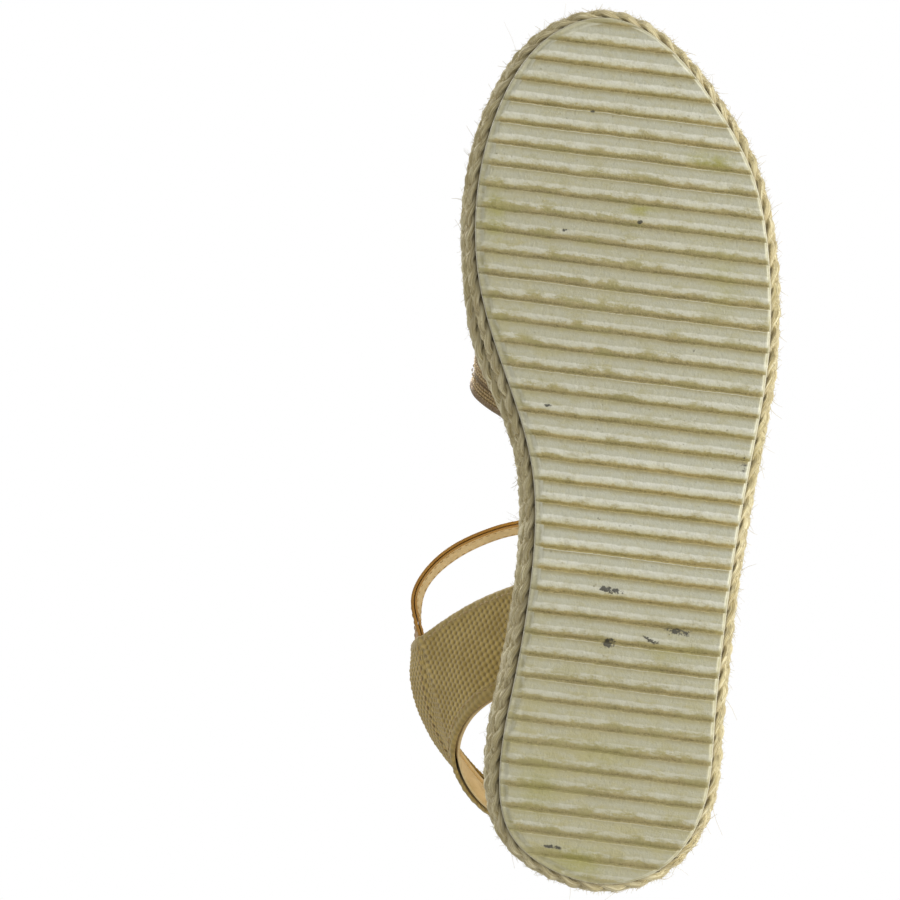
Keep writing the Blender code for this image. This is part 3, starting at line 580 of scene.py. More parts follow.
def rubber_look():
    """Cream rubber: grey lands that start darker after each step as painted shade, pale rib shoulders that
    are partly a painted highlight, pale rims, valleys darkened by grime and painted shade, grimy patches,
    scuffs and clean side walls.
    """
    look = Look("worn_cream_rubber", 0.62, Specular_IOR_Level=0.35)
    spot = look.place()
    along_ribs = look.place(stretch=(2.4, 1, 1), turn=(0, 0, -RIB_SLANT))
    cloud = look.noise(spot, 24, 5)
    smear = look.noise(along_ribs, 2.2, 6, 0.72)
    mottle = look.noise(spot, 1.3, 5, 0.72)
    speck = look.noise(spot, 0.55, 3, 0.6)
    grime = look.noise(along_ribs, 4.2, 6, 0.72)
    dirt = look.fact("dirt")
    phase = look.fact("phase")
    valley = look.fact("valley")
    # Partly clean rubber, partly painted highlight: the pale band on each rib's shoulder, where its slope
    # turns towards the light.
    clean_lit_lip = look.mix(look.between(phase, 0.55, 0.82), (211, 210, 194), (205, 201, 168))
    # Painted shade: each land starts dark just after the rib's step and greys towards its middle, as the
    # step's shadowed side.
    edge = look.plus(phase, look.between(mottle, 0.3, 0.7, -0.03, 0.02))
    face = look.mix(look.between(edge, -0.01, 0.25), (146, 136, 96), (178, 177, 157))
    look.base(look.between(edge, 0.43, 0.5), face, clean_lit_lip)
    look.coat(look.between(smear, 0.45, 0.75, 0, 0.55), (172, 164, 122))
    look.coat(look.between(mottle, 0.54, 0.74, 0, 0.4), (160, 152, 112))
    # Partly yellowing and dirt, partly painted shade: the slope into each valley turns darker and yellower
    # the further it sinks.
    tone = look.mix(look.between(cloud, 0.4, 0.62), (180, 164, 112), (168, 156, 102))
    uneven = look.plus(look.between(smear, 0.25, 0.8, -0.22, 0.26),
                       look.between(mottle, 0.3, 0.7, -0.14, 0.14),
                       look.times(dirt, look.between(grime, 0.36, 0.64, -0.75, 0.75)))
    sunk = look.maths("MAXIMUM", look.between(phase, 0.64, 0.94), look.between(valley, 0.6, 1.1))
    ragged = look.plus(sunk, uneven, look.times(dirt, look.between(phase, 0.46, 0.74, 0, 1.2)))
    look.coat(look.between(ragged, 0.25, 0.85), tone)
    soiled = look.times(look.between(smear, 0.48, 0.68, 0, 0.75), look.between(mottle, 0.36, 0.6),
                        look.between(phase, 0.5, 0.8))
    look.coat(soiled, (160, 145, 94))
    # Partly dirt, partly painted shade: the valley bottoms are darkened most.
    valley_dirt_and_shade = look.mix(look.between(speck, 0.42, 0.6), (176, 162, 116), (132, 118, 76))
    look.coat(look.between(ragged, 0.7, 1.4, 0, 0.95), valley_dirt_and_shade)
    crumbs = look.times(look.between(look.cells(spot, 2.7), 0.0, 0.22, 1, 0), look.between(speck, 0.46, 0.58),
                        look.between(cloud, 0.4, 0.6, 0.3, 0.9))
    look.coat(crumbs, (104, 98, 70))
    rim = look.fact("rim")
    rubbed = look.times(look.between(rim, 0.02, 0.3, 0, 0.7), look.between(valley, 0.1, 0.5, 1, 0))
    look.coat(rubbed, (222, 220, 196))
    look.coat(look.between(look.plus(rim, uneven), 0.45, 1.0, 0, 0.8), (176, 171, 138))
    look.coat(look.times(dirt, look.between(edge, 0.43, 0.5, 0.9, 0.6)), (162, 158, 132))
    blotch = look.times(dirt, look.between(grime, 0.5, 0.61, 0, 1.8),
                        look.between(phase, 0.3, 0.7, 0.4, 1))
    look.coat(blotch, (154, 147, 96))
    # Partly yellowing, partly painted shade: heavier towards the heel and the inner side.
    yellowed_and_shaded = look.times(look.fact("age"), look.between(cloud, 0.2, 0.8, 0.3, 1.0),
                        look.between(grime, 0.38, 0.6, 0.4, 1.1))
    look.coat(yellowed_and_shaded, (172, 164, 120))
    stain = look.times(look.fact("stain"), look.between(smear, 0.3, 0.6, 0.2, 1.0))
    look.coat(stain, (152, 148, 78))
    scuff = look.plus(look.fact("scuff"), look.between(mottle, 0.3, 0.7, -0.75, 0.2))
    look.coat(look.between(scuff, 0.3, 0.75, 0, 0.9), (62, 60, 54))
    clean = look.mix(look.between(smear, 0.4, 0.8, 0, 0.7), (222, 216, 192), (196, 188, 154))
    look.coat(look.fact("wall"), clean)
    look.rough(look.between(smear, 0.3, 0.7, 0.5, 0.78))
    return look.bumps((speck, 0.12), (mottle, 0.3), (look.noise(spot, 0.22, 2), 0.05))


def jute_look():
    """Straw-coloured bast fibres that run along each strand, painted dark brown as shade where the plait lies
    back.
    """
    look = Look("plaited_jute", 0.86, Specular_IOR_Level=0.25, Sheen_Weight=0.25, Sheen_Roughness=0.6)
    fibre = look.noise(look.place(stretch=(7, 0.26, 1), grain=True), 1.0, 5, 0.65, 0.2)
    yarn = look.noise(look.place(stretch=(9, 2.2, 1), grain=True), 1.0, 3, 0.5, 0.2)
    cloud = look.noise(look.place(), 14, 3)
    look.base(look.between(fibre, 0.36, 0.62), (184, 166, 108), (255, 246, 206))
    look.coat(look.between(yarn, 0.35, 0.6, 0.55, 0), (164, 144, 92))
    look.coat(look.between(cloud, 0.45, 0.7, 0, 0.4), (214, 202, 150))
    # Painted shade: dark brown where a strand lies back from the plait's face, and on the backing behind the
    # strands.
    look.coat(look.between(look.fact("hollow"), 0.2, 1.0, 0, 0.75), (84, 68, 36))
    return look.bumps((yarn, 0.45), (fibre, 0.5))


def canvas_look():
    """Natural basket-weave canvas whose low places between its threads are painted darker as shade."""
    look = Look("natural_canvas", 0.9, Specular_IOR_Level=0.2, Sheen_Weight=0.3, Sheen_Roughness=0.5)
    spot = look.place()
    thread = look.noise(look.place(stretch=(0.35, 0.12, 1), grain=True), 1.0, 4, 0.7)
    cloud = look.noise(spot, 9, 4)
    # Painted shade: dark brown in the weave's low places between threads, pale on its high ones.
    look.base(look.between(look.fact("weave"), -0.1, 0.95), (96, 74, 30), (208, 180, 104))
    look.coat(look.between(thread, 0.3, 0.75, 0, 0.5), (212, 188, 114))
    look.coat(look.between(cloud, 0.42, 0.7, 0, 0.4), (150, 124, 54))
    pale = look.mix(look.between(thread, 0.3, 0.7), (194, 172, 112), (162, 140, 82))
    look.coat(look.fact("folded"), pale)
    return look.bumps((thread, 0.12), (look.noise(spot, 0.25, 3), 0.06))


def knit_look():
    """Ribbed knit of rose-gold metallic thread on a dull ground, with painted near-white glints."""
    look = Look("rose_gold_knit", 0.42, 0.35, Specular_IOR_Level=0.5)
    spot = look.place()
    glint = look.noise(spot, 0.34, 2, 0.7)
    twist = look.noise(look.place(stretch=(0.8, 0.25, 1), grain=True), 1.0, 3, 0.6)
    ground = look.mix(look.between(twist, 0.3, 0.7), (98, 76, 36), (152, 122, 62))
    bright = look.mix(look.between(twist, 0.35, 0.7), (204, 166, 104), (242, 220, 166))
    look.base(look.between(look.fact("ridge"), 0.25, 0.9), ground, bright)
    look.coat(look.times(look.fact("stripe"), look.between(glint, 0.3, 0.6, 0.2, 0.8)), (106, 84, 50))
    # Painted highlight: near-white glints in scattered spots.
    look.coat(look.between(glint, 0.62, 0.7, 0, 0.9), (250, 240, 222))
    look.coat(look.fact("folded"), (134, 112, 84))
    look.put(look.shader.inputs["Metallic"], look.between(glint, 0.45, 0.62, 0.15, 0.85))
    look.rough(look.between(glint, 0.4, 0.65, 0.55, 0.24))
    return look.bumps((twist, 0.1), (glint, 0.12))


def leather_look(name, pale, dark):
    """Smooth finished leather with fine pores, creases, a painted edge and a pressed line along it."""
    look = Look(name, 0.4, Coat_Weight=0.15, Coat_Roughness=0.35)
    spot = look.place()
    pores = look.cells(spot, 0.42)
    crease = look.noise(look.place(stretch=(5, 1.2, 1), grain=True), 1.0, 4, 0.6)
    cloud = look.noise(spot, 7, 4)
    look.base(look.between(cloud, 0.35, 0.68), pale, dark)
    look.coat(look.between(crease, 0.52, 0.72, 0, 0.35), dark)
    look.coat(look.between(pores, 0.0, 0.3, 0.3, 0), dark)
    look.coat(look.times(look.fact("border"), 0.3), (104, 70, 26))
    look.coat(look.times(look.fact("edge"), 0.6), (176, 126, 38))
    look.rough(look.between(cloud, 0.3, 0.7, 0.34, 0.52))
    return look.bumps((pores, 0.045), (crease, 0.12), (look.fact("border"), -0.25))


def lining_look():
    """Beige synthetic lining with a pebbled, slightly soiled face; a strap's edges are painted."""
    look = Look("beige_lining", 0.66, Specular_IOR_Level=0.35)
    spot = look.place()
    pebble = look.cells(spot, 0.6)
    cloud = look.noise(spot, 5, 5, 0.6)
    speck = look.noise(spot, 0.6, 3, 0.6)
    look.base(look.between(cloud, 0.35, 0.65), (236, 212, 158), (222, 196, 138))
    look.coat(look.between(speck, 0.55, 0.7, 0, 0.35), (230, 210, 168))
    look.coat(look.between(speck, 0.3, 0.42, 0.25, 0), (164, 136, 90))
    look.coat(look.between(look.fact("edge"), 0.5, 1.0, 0, 0.85), (176, 126, 46))
    return look.bumps((pebble, 0.08), (speck, 0.06))


def footbed_look():
    """Beige cover of the footbed, worn a little darker where the foot presses."""
    look = Look("footbed_cover", 0.55, Specular_IOR_Level=0.4)
    spot = look.place()
    pebble = look.cells(spot, 0.8)
    cloud = look.noise(spot, 16, 5, 0.6)
    crease = look.noise(look.place(stretch=(7, 1.6, 1)), 1.0, 4, 0.6, 0.6)
    look.base(look.between(cloud, 0.35, 0.7), (212, 192, 154), (202, 180, 138))
    pressed = look.times(look.fact("pressed"), look.between(cloud, 0.3, 0.7, 0.5, 1.0))
    look.coat(pressed, (158, 130, 90))
    look.coat(look.between(crease, 0.58, 0.74, 0, 0.3), (150, 122, 84))
    return look.bumps((pebble, 0.1), (crease, 0.22))


def brass_look():
    """Antique brass wire in patches of bright and dark brass."""
    look = Look("antique_brass", 0.3, 1.0)
    spot = look.place()
    cloud = look.noise(spot, 2.2, 4)
    scratch = look.noise(look.place(stretch=(4, 0.12, 1), grain=True), 1.0, 3, 0.6)
    look.base(look.between(cloud, 0.4, 0.68), (206, 178, 118), (128, 98, 52))
    look.rough(look.between(cloud, 0.35, 0.7, 0.22, 0.48))
    return look.bumps((scratch, 0.02), (look.noise(spot, 0.5, 3), 0.02))


def plain_cloth_look(name, pale, dark, size):
    """A dull woven or pressed material: two tones of fine noise."""
    look = Look(name, 0.9, Specular_IOR_Level=0.2)
    spot = look.place()
    fine = look.noise(spot, size, 4, 0.65)
    look.base(look.between(fine, 0.35, 0.65), pale, dark)
    return look.bumps((fine, 0.15))


def thread_look():
    """Tan sewing thread with its twist."""
    look = Look("sewing_thread", 0.6, Sheen_Weight=0.2)
    twist = look.noise(look.place(), 0.25, 3)
    look.base(look.between(twist, 0.35, 0.65), (208, 182, 128), (170, 140, 86))
    return look.bumps((twist, 0.05))


RUBBER = rubber_look()
JUTE = jute_look()
CANVAS = canvas_look()
KNIT = knit_look()
TAN = leather_look("tan_leather", (190, 142, 52), (156, 110, 30))
LINING = lining_look()
FOOTBED = footbed_look()
BRASS = brass_look()
THREAD = thread_look()
BACKING = plain_cloth_look("vamp_backing", (214, 208, 192), (186, 178, 158), 0.5)
BOARD = plain_cloth_look("fibre_board", (150, 124, 88), (112, 88, 58), 0.7)
FOAM = plain_cloth_look("core_foam", (214, 196, 156), (190, 170, 128), 0.9)


# Outsole.

TREAD_EDGE = 1.5 * MM
RIB_SHOULDER = 2.7 * MM
RIM_WIDTH = (3.0 * MM, 1.2 * MM)
RIM_DEPTH = 0.85 * MM
TREAD_COLUMNS = 124
WANDER_STARTS = 4 * MM
END_NOTCH = 0.45 * MM
WALL_STARTS = 0.35 * MM
RIB_STATIONS = np.array([
    0, 0.25, 0.55, 0.9, 1.35, 1.9, 2.5, 2.8, 3.0, 3.2, 3.45, 3.8, 4.3, 4.75, 5.1, 5.4, 5.65, 5.85, 6.05,
    6.3, 6.49,
]) * MM
# Up the side wall: share of its height, then how far in from the edge in millimetres.
WALL_LEVELS = [(0.35, 0.25), (0.62, 0.1), (0.82, 0.05), (0.86, 0.75), (1.0, 0.8)]
TIP_STATIONS = np.array([0.02, 0.06, 0.14, 0.28, 0.5, 0.8, 1.2, 1.7]) * MM

# Marks on the tread: x, y, half length and half width in millimetres, turn in degrees, strength.
SCUFFS = [
    (-17.3, -13.6, 1.6, 0.45, 4, 1.5), (1.2, 41.3, 4.5, 1.2, 12, 1.1), (0.6, 57.1, 2.6, 1.7, -20, 1.2),
    (13, 56.2, 3.4, 1.1, 25, 0.9), (21.3, 53.8, 5.2, 1.3, 8, 1.0), (-12.2, -65.7, 0.8, 0.55, 0, 1.4),
    (10.1, -68, 1.0, 0.7, 0, 1.4), (-16, 117.7, 3.6, 0.7, 9, 1.2), (41.3, 4, 1.8, 3.0, 10, 0.7),
    (-4, -101, 0.8, 0.6, 0, 1.3), (26, -30, 0.7, 0.6, 0, 1.2), (-2, 20, 0.9, 0.5, 30, 1.0),
]
STAINS = [
    (31, -86, 7, 2.4, 8, 0.9), (10, -71.6, 4.5, 1.8, 5, 0.8), (-9, 122, 8, 4, 10, 0.7),
    (-33, -70, 3, 9, 0, 0.6), (20, 60, 9, 3, 8, 0.35), (-20, 100, 6, 8, 0, 0.45),
    (35, -50, 5, 10, 0, 0.3), (0, 90, 9, 4, 8, 0.3),
]


def marks_at(x, y, marks):
    """How strongly soft oval marks show at each point."""
    total = np.zeros_like(x)
    for mark_x, mark_y, long, short, turn, strength in marks:
        angle = math.radians(turn)
        dx, dy = x - mark_x * MM, y - mark_y * MM
        along = (dx * math.cos(angle) + dy * math.sin(angle)) / (long * MM)
        across = (dy * math.cos(angle) - dx * math.sin(angle)) / (short * MM)
        total += strength * np.exp(-(along ** 2 + across ** 2) ** 1.3)
    return total


def wear_at(x, y):
    """How yellowed and how dirty the tread is. The arch stays clean, and the heel is the yellowest; the
    yellowing that grows towards the heel and the inner side is partly painted shade.
    """
    # Partly painted shade: the yellowing grows towards the inner side and towards the heel, which darkens
    # them.
    age = 0.42 * (1 - np.exp(-((y - 22) / 44) ** 2)) * (1 - 0.5 * ease((x + 10) / 45))
    age *= 1 - 0.65 * ease((-y - 60) / 50)
    age += 0.4 * ease((y - 25) / 70)
    dirt = 0.45 * (1 - np.exp(-((y - 22) / 34) ** 2)) * (1 - 0.7 * ease((-y - 70) / 35))
    return age, dirt * (1 - 0.4 * ease((x + 5) / 45))


def distance_to(points, line):
    """Distance from each flat point to the nearest point of a line."""
    shape = points.shape[:-1]
    flat = points.reshape(-1, 2).astype(np.float32)
    line = line.astype(np.float32)
    nearest = np.empty(len(flat), np.float32)
    for start in range(0, len(flat), 4000):
        block = flat[start:start + 4000]
        squared = (block ** 2).sum(1)[:, None] - 2 * block @ line.T + (line ** 2).sum(1)
        nearest[start:start + 4000] = np.sqrt(squared.min(axis=1).clip(0))
    return nearest.reshape(shape).astype(float)


def rounded_off(radius, inside):
    """How much a rounded edge takes off a surface, by distance in from the edge."""
    return radius - np.sqrt(radius ** 2 - (radius - inside).clip(0) ** 2)


def rib_height(phase):
    """Height above the ground across one rib, 0 to 1: land, rounded slope to the valley, steep step."""
    slope = ((phase - RIB_SHOULDER) / (RIB_PITCH - RIB_STEP - RIB_SHOULDER)).clip(0, 1)
    step = ((phase - RIB_PITCH + RIB_STEP) / RIB_STEP).clip(0, 1)
    return slope ** 1.7 * (1 - ease(step))


def fill_outline(edge, ahead, aside, sides, rows, share):
    """Points in rows that fill an outline, how far in from its edge each lies, and the points in 3-D."""
    outer, inner = sides
    low, high = (np.interp(rows, side[:, 1], side[:, 0])[:, None] for side in (inner, outer))
    across = low + (high - low) * share
    along = np.broadcast_to(rows[:, None], across.shape)
    flat = across[..., None] * aside + along[..., None] * ahead
    inside = distance_to(flat, edge)
    inside[:, [0, -1]] = 0
    return flat, inside, np.concatenate([flat, np.zeros((*across.shape, 1))], axis=-1)


def crowded(count, strength):
    """Shares from 0 to 1 that stand closer together near both ends."""
    even = np.linspace(0, 1, count)
    return (1 - strength) * even + strength / 2 * (1 - np.cos(np.pi * even))


def make_outsole():
    ahead = np.array([-math.sin(RIB_SLANT), math.cos(RIB_SLANT)])
    aside = np.array([math.cos(RIB_SLANT), math.sin(RIB_SLANT)])
    edge = outline(0, 1920)
    sides = two_sides(np.column_stack([edge @ aside, edge @ ahead]))
    first, last = sides[0][[0, -1], 1]
    ribs = np.arange(-22, 23) * RIB_PITCH - RIB_LAND / 2
    rows = (ribs[:, None] + RIB_STATIONS).ravel()
    rows = np.concatenate([rows, first + TIP_STATIONS, last - TIP_STATIONS])
    rows = np.sort(rows[(rows > first + 0.01 * MM) & (rows < last - 0.01 * MM)])
    rows = rows[np.concatenate([[True], np.diff(rows) > 0.02 * MM])]
    share = crowded(TREAD_COLUMNS, 0.5)
    flat, inside, spot = fill_outline(edge, ahead, aside, sides, rows, share)
    wander = (0.12 * wobble(spot, 9 * MM) + 0.1 * wobble(spot, 2.2 * MM, 1)
              + 0.1 * wobble(spot, 0.9 * MM, 2))
    flat = flat + (wander * ease(inside / WANDER_STARTS) * MM)[..., None] * ahead
    phase = np.broadcast_to(((rows + RIB_LAND / 2) % RIB_PITCH)[:, None], inside.shape)
    groove = rib_height(phase)
    depth = RIB_DEPTH * groove * (1 + 0.14 * wobble(spot, 17 * MM, 3) + 0.1 * wobble(spot, 3 * MM, 4))
    lumps = 0.05 * MM * (1 + wobble(spot, 1.6 * MM, 5)) + 0.05 * MM * (1 + wobble(spot, 6 * MM, 6))
    width = RIM_WIDTH[0] + (RIM_WIDTH[1] - RIM_WIDTH[0]) * ease(share)
    rim = 1 - ease((inside / (width * (1 + 0.25 * wobble(spot, 8 * MM, 7))) - 0.35) / 0.65)
    z = ((depth + lumps) ** 3 + rounded_off(TREAD_EDGE, inside) ** 3 + (RIM_DEPTH * rim) ** 3) ** (1 / 3)
    bottom = np.concatenate([flat, z[..., None]], axis=-1)

    middle = np.column_stack([flat.mean(axis=1), np.zeros(len(rows))])

    def wall(column):
        """Points up one side, with the ribs' ends as shallow scallops and a crease under the braid."""
        start = bottom[:, column]
        inwards = unit(middle - start * (1, 1, 0))
        points = []
        for level, inset in WALL_LEVELS:
            height = start[:, 2] + (OUTSOLE_THICKNESS - GAP - start[:, 2]) * level
            shift = inset * MM + END_NOTCH * groove[:, column] * (1 - level) ** 2
            points.append(start * (1, 1, 0) + inwards * shift[:, None] + np.outer(height, (0, 0, 1)))
        return np.stack(points, axis=1)

    right, left = wall(-1), wall(0)
    across = np.linspace(0, 1, 6)[1:-1, None]
    top = right[:, None, -1] + (left[:, None, -1] - right[:, None, -1]) * across
    ring = np.concatenate([bottom, right, top, left[:, ::-1]], axis=1)
    extra = ring.shape[1] - TREAD_COLUMNS

    def fact(values, rest):
        return np.hstack([values, np.full((len(rows), extra), rest)])

    x, y = flat[..., 0], flat[..., 1]
    age, dirt = wear_at(x / MM, y / MM)
    marks = {"dirt": dirt, "valley": groove, "phase": phase / RIB_PITCH, "age": age, "rim": rim,
             "scuff": marks_at(x, y, SCUFFS), "stain": marks_at(x, y, STAINS)}
    shape = Shape()
    shape.grid(ring, caps=True, wall=fact(ease(1 - inside / WALL_STARTS), 1),
               **{name: fact(values, 0) for name, values in marks.items()})
    shape.build("outsole_tread", RUBBER, "sandal", ["outsole"], sharp=50)


# Plaited jute sides.

STRAND_PERIOD = 19.5 * MM
STRAND_SWING = 2.2 * MM
STRAND_DIVE = 0.95 * MM
STRAND_HALF_WIDTH = 1.85 * MM
STRAND_HALF_THICKNESS = 1.15 * MM
STRAND_SIDES = 16
STRAND_GIRTH = 9.5 * MM
BRAID_PLANE = 1.0 * MM
ROW_SWELL = 1.1 * MM
WAIST_SWELL = 2.0 * MM
WAIST_SWELL_Y = -31 * MM
WAIST_SWELL_REACH = 17 * MM
BACKING_FACE = -1.3 * MM
BRAID_STATIONS = 825
HAIRS = 9000
LOW_HAIRS = 12000
LOW_HAIRS_UNDER = 11 * MM
LONG_HAIR_SHARE = 0.05
LONG_HAIR_GROWTH = 2.2
HAIR_CLEARANCE = 0.3 * MM
HAIR_RADIUS = (0.045, 0.11)


def add_braid(shape, base, outward, low, high, closed, row):
    """Three flat strands plaited along a line, with a backing behind them that is painted dark as shade.
    Returns their surface.
    """
    stations = lengths_along(base, closed)
    length = stations[-1]
    at = stations[:len(base)]
    turns = max(1, round(length / STRAND_PERIOD)) if closed else length / STRAND_PERIOD
    height = high - low
    size = (height / (ROW_PITCH - GAP)) ** 0.8
    waist = np.exp(-((base[:, 1] - WAIST_SWELL_Y) / WAIST_SWELL_REACH) ** 2)
    swell = (ROW_SWELL + WAIST_SWELL * waist * (base[:, 0] < 0)) * (row > 0)
    plane = BRAID_PLANE + swell
    surface = []
    for strand in range(3):
        phase = 2 * np.pi * (turns * at / length + strand / 3 + 0.37 * row)
        spot = np.column_stack([base, np.full(len(base), 0.05 * (row + 1) + 0.01 * strand)])
        loose = 0.3 * MM * wobble(spot, 7 * MM, 2)
        rise = (low + high) / 2 + (STRAND_SWING * np.sin(phase) + 0.4 * loose) * size
        reach = plane + STRAND_DIVE * np.sin(2 * phase) + loose * 0.5
        path = np.column_stack([base + outward[:, :2] * reach[:, None], rise])
        grow = size * (1 + 0.13 * wobble(spot, 5 * MM, 4))
        turn = np.linspace(0, 2 * np.pi, STRAND_SIDES, endpoint=False)
        lobes = 1 + 0.12 * np.cos(4 * turn[None] + (at / (7 * MM))[:, None] + strand)
        section = oval(STRAND_HALF_WIDTH, STRAND_HALF_THICKNESS, STRAND_SIDES, 0.85)[None] * lobes[..., None]
        side, up = rope_frames(path, outward, closed)
        points = sweep(path, side, up, section, grow)
        points[..., 2] = points[..., 2].clip((low + 0.05 * MM)[:, None], (high - 0.05 * MM)[:, None])
        out = np.einsum("ijk,ik->ij", points - np.column_stack([base, rise])[:, None], outward)
        # How far each point lies back from the plait's face, which sets its painted shade.
        hollow = ((plane[:, None] + 0.9 * MM - out) / (2.4 * MM)).clip(0, 1)
        around = np.linspace(0, STRAND_GIRTH, STRAND_SIDES + 1)
        uv = crossed(stations + strand * 0.7 + row * 0.31, around)
        shape.grid(points, loop=closed, caps=not closed, uv=uv, hollow=hollow)
        surface.append(points.reshape(-1, 3)[hollow.ravel() < 0.12])
    back, face = ROW_INNER + 0 * swell, BACKING_FACE + swell
    section = [(back, low), (back, high), (face, high), (face, low)]
    corners = [np.column_stack([base + outward[:, :2] * reach[:, None], level]) for reach, level in section]
    shape.grid(np.stack(corners, axis=1), loop=closed, caps=not closed, hollow=1.0)
    return np.vstack(surface)


def make_braids():
    """All rows of plaited jute, and the hairs that stand off them."""
    ring = outline(0, BRAID_STATIONS)
    outward = np.column_stack([outward_round(ring), np.zeros(BRAID_STATIONS)])
    surfaces = []
    for row in range(FULL_ROWS + HEEL_ROWS):
        closed = row < FULL_ROWS
        low = np.full(BRAID_STATIONS, OUTSOLE_THICKNESS + row * ROW_PITCH + GAP / 2)
        high = low + ROW_PITCH - GAP
        if not closed:
            high = np.minimum(high, deck(ring[:, 1]) - GAP / 2)
        kept = np.flatnonzero(high - low > SHORTEST_ROW)
        shape = Shape()
        surfaces.append(add_braid(shape, ring[kept], outward[kept], low[kept], high[kept], closed, row))
        name, node = f"plait_{row + 1}", f"braid_row_{row + 1}"
        if not closed:
            number = row + 1 - FULL_ROWS
            name, node = f"heel_plait_{number}", f"braid_heel_row_{number}"
        shape.build(name, JUTE, "sandal", [node])
    make_hairs(np.vstack(surfaces))


def make_hairs(surface):
    """Loose jute fibres that stick out of the braid."""
    shape = Shape()
    low = surface[surface[:, 2] < LOW_HAIRS_UNDER]
    roots = [part[RANDOM.integers(0, len(part), count)]
             for part, count in ((surface, HAIRS), (low, LOW_HAIRS))]
    for start in np.concatenate(roots):
        away = unit(np.array([start[0], start[1] - np.clip(start[1], -85 * MM, 95 * MM), 0]))
        along = np.array([-away[1], away[0], 0]) * RANDOM.choice((-1, 1))
        aim = away * RANDOM.uniform(-0.1, 0.55) + along * RANDOM.uniform(0.3, 1)
        aim = unit(aim + (0, 0, RANDOM.normal(0, 0.6)))
        curl = RANDOM.normal(0, 0.3, 3)
        length = RANDOM.gamma(3.0, 0.35)
        length = length * (LONG_HAIR_GROWTH if RANDOM.random() < LONG_HAIR_SHARE else 1) * MM
        t = np.linspace(0, 1, 4)[:, None]
        path = start - away * 0.15 * MM + aim * length * t + curl * length * t ** 2
        radius = RANDOM.uniform(*HAIR_RADIUS) * MM
        path[:, 2] = path[:, 2].clip(HAIR_CLEARANCE)
        side, up = rope_frames(path, np.array([0.1, 0.2, 1.0]))
        grow = radius * (1 - 0.6 * t[:, 0])
        shape.grid(sweep(path, side, up, oval(1, 1, 3), grow), caps=True,
                   hollow=float(RANDOM.uniform(-0.3, 0.5)))
    shape.build("jute_hairs", JUTE, "sandal")


# Footbed.

FOOTBED_BOTTOM = 1.9 * MM
FOOTBED_ROUND = 2.1 * MM
FOOTBED_SEAM = 4.5 * MM
FOOTBED_ROWS = 300
FOOTBED_COLUMNS = 90
# Stitches: length and radius.
FOOTBED_STITCH = (2.7 * MM, 0.28 * MM)


def dish(x, y, centre_x, centre_y, reach_x, reach_y):
    """A shallow round hollow, 1 in its middle."""
    return np.exp(-((x / MM - centre_x) / reach_x) ** 2 - ((y / MM - centre_y) / reach_y) ** 2)


def footbed_top(x, y, inside):
    """Height of the footbed's top over the deck, and how hard the foot has pressed it there."""
    heel = dish(x, y, 1, 92, 19, 24)
    ball = dish(x, y, 4, -42, 30, 24)
    toes = sum(dish(x, y, toe_x, toe_y, 8, 7) for toe_x, toe_y in
               ((-19, -92), (-3, -97), (10, -92), (22, -83), (32, -72)))
    rounding = rounded_off(FOOTBED_ROUND, inside)
    seam = 0.45 * MM * np.exp(-((inside - FOOTBED_SEAM) / (0.6 * MM)) ** 2)
    crown = 0.5 * MM * np.exp(-((inside - 8 * MM) / (4 * MM)) ** 2)
    pressed = (0.9 * heel + 0.55 * ball + 0.5 * toes).clip(0, 1)
    return SOCK_TOP - rounding - seam + crown - 0.9 * MM * pressed, pressed


def make_footbed():
    edge = outline(FOOTBED_OUTSET, 1920)
    sides = two_sides(edge)
    first, last = sides[0][[0, -1], 1]
    rows = first + (last - first) * crowded(FOOTBED_ROWS, 0.4)[3:-3]
    rows = np.concatenate([first + TIP_STATIONS[:4], rows, last - TIP_STATIONS[3::-1]])
    flat, inside, spot = fill_outline(edge, np.array([0, 1]), np.array([1, 0]), sides, rows,
                                      crowded(FOOTBED_COLUMNS, 0.6))
    x, y = flat[..., 0], flat[..., 1]
    height, pressed = footbed_top(x, y, inside)
    height += 0.12 * MM * wobble(spot, 14 * MM, 3)
    top = np.concatenate([flat, (deck(y) + height)[..., None]], axis=-1)
    columns = np.linspace(FOOTBED_COLUMNS - 1, 0, 8).astype(int)
    under = np.concatenate([flat[:, columns], (deck(y[:, columns]) + FOOTBED_BOTTOM)[..., None]], axis=-1)
    ring = np.concatenate([top, under], axis=1)
    shape = Shape()
    shape.grid(ring, caps=True, pressed=np.hstack([pressed, np.zeros((len(ring), 8))]))
    stands_for = ["sock_lining", "footbed_foam"]
    footbed = shape.build("padded_footbed", FOOTBED, "sandal", stands_for)

    seam = even_curve(outline(FOOTBED_OUTSET - FOOTBED_SEAM, 160), 168, closed=True)
    ahead = ahead_round(seam)
    height, _ = footbed_top(seam[:, 0], seam[:, 1], np.full(len(seam), FOOTBED_SEAM))
    place = np.column_stack([seam, deck(seam[:, 1]) + height])
    shape = Shape()
    ahead = np.column_stack([ahead, np.zeros(len(seam))])
    add_stitches(shape, place, ahead, [(0, 0, 1)] * len(seam), *FOOTBED_STITCH)
    shape.build("footbed_stitches", THREAD, "sandal")


# Knitted band over the toes.

VAMP_SKIN = 2.25 * MM
KNIT_ROWS = 50
KNIT_STITCH = 1.25 * MM
KNIT_RIDGE = 0.5 * MM
KNIT_COLUMNS = 500
KNIT_STEPS = 4
EDGING_HALF_WIDTH = 1.25 * MM
EDGING_HALF_THICKNESS = 1.7 * MM
EDGING_LIFT = 1.4 * MM
KNIT_BACK = 1.75 * MM
CLOTH_FACES = (0.85 * MM, 1.6 * MM)
LINER_FACES = (0.02 * MM, 0.7 * MM)
BAND_TUCK = 1.2 * MM
BAND_SEAM_LIFT = 2.95 * MM
# Stitches: distance from one to the next, length and radius.
BAND_STITCH = (2.8 * MM, 2.0 * MM, 0.2 * MM)


